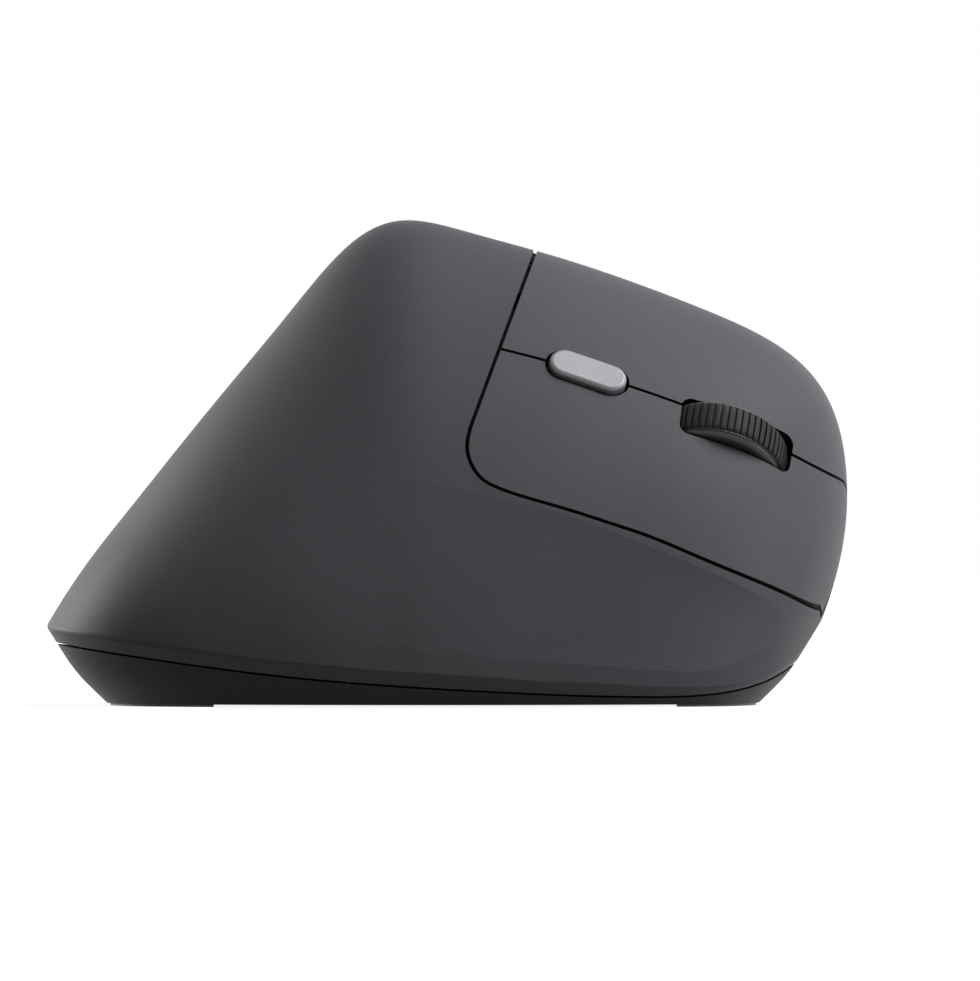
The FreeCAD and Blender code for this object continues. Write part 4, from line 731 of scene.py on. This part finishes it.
class MOUSE_OT_wheel(bpy.types.Operator):
    """Ribbed rubber tread on a hub with smooth domed sides"""
    bl_idname = "mouse.wheel"
    bl_label = "Scroll wheel"

    def execute(self, context):
        wheel = context.scene.mouse_wheel
        turn = joint("wheel_turn")
        centre = Vector(turn["pos_m"])
        axle = Vector(turn["axis"]).normalized()
        up = upward("wheel_press")
        place = Matrix((axle, up.cross(axle), up)).transposed().to_4x4()
        place.translation = centre
        self.tread(wheel, place)
        points = frame["nodes"]["wheel_hub"].data.vertices
        self.hub(wheel, place, max(abs((point.co - centre).dot(axle)) for point in points))
        return {"FINISHED"}

    def tread(self, wheel, place):
        half = wheel.tread_width / 2
        crown = wheel.radius
        profile = [(-half * share, crown + drop) for share, drop in TREAD_SIDE]
        profile.append((0.0, crown))
        profile += [(half * share, crown + drop) for share, drop in reversed(TREAD_SIDE)]
        profile.append(profile[0])
        steps = wheel.ribs * STEPS_PER_RIB
        tread = spun("ribbed_tread", profile, steps)
        step = 2 * math.pi / steps

        def in_groove(face):
            angle = math.atan2(face.center.y, face.center.z)
            out = math.hypot(face.center.y, face.center.z)
            return math.floor(angle / step) % STEPS_PER_RIB == 0 and out > crown - GROOVE_REACH

        pick(tread, "FACE", in_groove)
        bpy.ops.mesh.extrude_region_shrink_fatten(
            TRANSFORM_OT_shrink_fatten={"value": -wheel.groove_depth})
        bpy.ops.object.mode_set(mode="OBJECT")
        apply_modifier(tread, "BEVEL", width=GROOVE_EDGE, segments=2, limit_method="ANGLE",
                       angle_limit=math.radians(BEVELLED_EDGE))
        smooth(tread, SPUN_EDGE)
        settle(tread, place)
        dress(tread, worn_rubber("tread_rubber", wheel.tread_colour), "wheel_tyre")

    def hub(self, wheel, place, reach):
        half = wheel.hub_width / 2
        seat = wheel.tread_width / 2 + TREAD_PLAY
        inner = wheel.tread_width / 2 + DOME_INSET
        dish = half - DISH_DEPTH
        side = [(reach, 0.0), (reach, AXLE_RADIUS - AXLE_EDGE), (reach - AXLE_EDGE, AXLE_RADIUS),
                (dish, AXLE_RADIUS), (dish, DISH_RADIUS)]
        side += [(half - depth, out) for depth, out in DISH_RISE]
        side += [(inner + (half - inner) * math.cos(math.radians(turn)),
                  DOME_START + (DOME_END - DOME_START) * math.sin(math.radians(turn)))
                 for turn in range(0, 91, DOME_STEP)]
        side += [(inner, LIP_RADIUS - LIP_EDGE[1]), (inner - LIP_EDGE[0], LIP_RADIUS),
                 (seat, LIP_RADIUS), (seat, TREAD_SEAT)]
        profile = [(-across, out) for across, out in side] + list(reversed(side))
        hub = spun("domed_hub", profile, HUB_STEPS)
        smooth(hub, SPUN_EDGE)
        settle(hub, place)
        finish = moulded_plastic("hub_plastic", wheel.hub_colour, roughness=0.38, grain=0.4 * MM,
                                 wear=0.3, depth=0.006 * MM, specular=0.5)
        dress(hub, finish, "wheel_hub")


class MOUSE_OT_buttons(bpy.types.Operator):
    """Silver speed button behind the wheel, power slide and the two thumb buttons"""
    bl_idname = "mouse.buttons"
    bl_label = "Buttons"

    def execute(self, context):
        buttons = context.scene.mouse_buttons
        shell = context.scene.mouse_shell
        silver = satin_coat("silver_satin", buttons.silver_colour)
        self.speed_button(buttons, silver)
        finish_node("power_switch", silver)
        finish = moulded_plastic("button_grain", shell.housing_colour, shell.roughness, shell.grain,
                                 shell.wear)
        for node, name in (("forward_button", "forward_thumb_button"),
                           ("back_button", "back_thumb_button")):
            dress(joined_copy(node, name), finish, node)
        return {"FINISHED"}

    def speed_button(self, buttons, silver):
        points = [vertex.co.copy() for vertex in frame["nodes"]["speed_button"].data.vertices]
        place = self.button_place(points)
        cap = self.cap(buttons)
        up = upward("speed_press")
        low = min(point.dot(up) for point in points)
        foot = [point for point in points if point.dot(up) < low + END_BAND]
        peg = self.peg(place.inverted() @ (sum(foot, Vector()) / len(foot)))
        take(cap)
        peg.select_set(True)
        bpy.ops.object.join()
        smooth(cap, SPUN_EDGE)
        apply_modifier(cap, "WEIGHTED_NORMAL", keep_sharp=True, weight=50)
        settle(cap, place)
        dress(cap, silver, "speed_button")

    def button_place(self, points):
        """Middle of the button's top: X across it, Y along it to the nose, Z out."""
        up = upward("speed_press")
        top = max(point.dot(up) for point in points)
        rim = [point for point in points if point.dot(up) > top - END_BAND]
        first, last = max(((a, b) for a in rim for b in rim),
                          key=lambda pair: (pair[0] - pair[1]).length)
        ahead = first - last
        ahead = (ahead - up * ahead.dot(up)).normalized()
        if ahead.y < 0:
            ahead = -ahead
        middle = (first + last) / 2
        place = Matrix((ahead.cross(up), ahead, up)).transposed().to_4x4()
        place.translation = middle + up * (top - middle.dot(up))
        return place

    def cap(self, buttons):
        """A block whose ends are rounded off, and whose top has a soft edge."""
        let_go()
        bpy.ops.mesh.primitive_cube_add(size=1.0, location=(0, 0, -CAP_HEIGHT / 2),
                                        scale=(buttons.speed_width, buttons.speed_length, CAP_HEIGHT))
        cap = name_new("speed_cap")
        bpy.ops.object.transform_apply(location=True, rotation=True, scale=True)

        def ends(edge):
            return [cap.data.vertices[i].co.z for i in edge.vertices]

        pick(cap, "EDGE", lambda edge: max(ends(edge)) - min(ends(edge)) > CAP_HEIGHT / 2)
        bpy.ops.mesh.bevel(offset=buttons.speed_width / 2 - CAP_FLAT, segments=CORNER_SEGMENTS,
                           affect="EDGES")
        bpy.ops.object.mode_set(mode="OBJECT")
        pick(cap, "EDGE", lambda edge: min(ends(edge)) > -CAP_FLAT)
        bpy.ops.mesh.bevel(offset=buttons.speed_edge, segments=EDGE_SEGMENTS, affect="EDGES")
        bpy.ops.object.mode_set(mode="OBJECT")
        return cap

    def peg(self, foot):
        """The peg under the cap, from inside the cap down to its working room over the key."""
        end = foot.z + PEG_ROOM
        root = PEG_ROOT - CAP_HEIGHT
        let_go()
        bpy.ops.mesh.primitive_cylinder_add(vertices=PEG_SIDES, radius=PEG_RADIUS, depth=root - end,
                                            location=(foot.x, foot.y, (root + end) / 2))
        peg = name_new("speed_peg")
        bpy.ops.object.transform_apply(location=True, rotation=True, scale=True)
        apply_modifier(peg, "BEVEL", width=PEG_EDGE, segments=2, limit_method="ANGLE")
        return peg


class MOUSE_OT_inside(bpy.types.Operator):
    """Finishes of the feet, boards, switches, cell, contacts, screws and radio receiver"""
    bl_idname = "mouse.inside"
    bl_label = "Inner parts and underside"

    def execute(self, context):
        inside = context.scene.mouse_inside
        shell = context.scene.mouse_shell
        black = moulded_plastic("black_parts", inside.black_colour, roughness=0.42, grain=0.3 * MM,
                                wear=0.4, depth=0.01 * MM, specular=0.4)
        for node in ("scroll_encoder", "left_click_switch", "right_click_switch", "wheel_click_key",
                     "speed_key", "forward_key", "back_key", "sensor_chip", "radio_chip",
                     "power_switch_body"):
            finish_node(node, black)
        finish_node("usb_receiver", moulded_plastic("receiver_black", inside.black_colour,
                                                    roughness=0.34, grain=0.6 * MM, wear=0.6,
                                                    depth=0.008 * MM, specular=0.5))
        finish_node("wheel_carriage", moulded_plastic("carriage_black", shell.inner_and_seam_shade_colour,
                                                      roughness=0.55, grain=shell.grain, wear=0.2))
        steel = plated_steel("plated_steel", inside.steel_colour)
        for node in ("pivot_rod", "board_screws", "plus_contact", "minus_spring", "case_screws"):
            finish_node(node, steel)
        mask = solder_mask("solder_mask", inside.board_colour)
        for node in ("finger_board", "thumb_board", "main_board"):
            finish_node(node, mask)
        finish_node("sensor_lens", clear_plastic("clear_lens"))
        low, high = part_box("aa_cell")
        finish_node("aa_cell", cell_jacket("cell_jacket", inside.jacket_colour, inside.band_colour,
                                           high.x - (high.x - low.x) * CELL_BAND_SHARE))
        pad = slippery_pad("foot_pad", inside.pad_colour)
        for node in ("rear_foot", "front_foot"):
            finish_node(node, pad)
        return {"FINISHED"}


class MOUSE_PT_build(bpy.types.Panel):
    """Steps that build the upright mouse"""
    bl_idname = "MOUSE_PT_build"
    bl_label = "Upright Mouse"
    bl_space_type = "VIEW_3D"
    bl_region_type = "UI"
    bl_category = "Upright Mouse"

    def draw(self, context):
        for group, kind in SETTINGS:
            box = self.layout.box()
            for key in kind.__annotations__:
                box.prop(getattr(context.scene, group), key)
        for step in STEPS:
            self.layout.operator(step.bl_idname)


STEPS = (MOUSE_OT_stage, MOUSE_OT_shell, MOUSE_OT_click_panels, MOUSE_OT_wheel, MOUSE_OT_buttons,
         MOUSE_OT_inside)


def register():
    for name, kind in SETTINGS:
        bpy.utils.register_class(kind)
        setattr(bpy.types.Scene, name, bpy.props.PointerProperty(type=kind))
    for kind in STEPS + (MOUSE_PT_build,):
        bpy.utils.register_class(kind)


def unregister():
    for kind in reversed(STEPS + (MOUSE_PT_build,)):
        bpy.utils.unregister_class(kind)
    for name, kind in reversed(SETTINGS):
        delattr(bpy.types.Scene, name)
        bpy.utils.unregister_class(kind)


def main():
    register()
    for step in (bpy.ops.mouse.stage, bpy.ops.mouse.shell, bpy.ops.mouse.click_panels,
                 bpy.ops.mouse.wheel, bpy.ops.mouse.buttons, bpy.ops.mouse.inside):
        step()


if __name__ == "__main__":
    main()
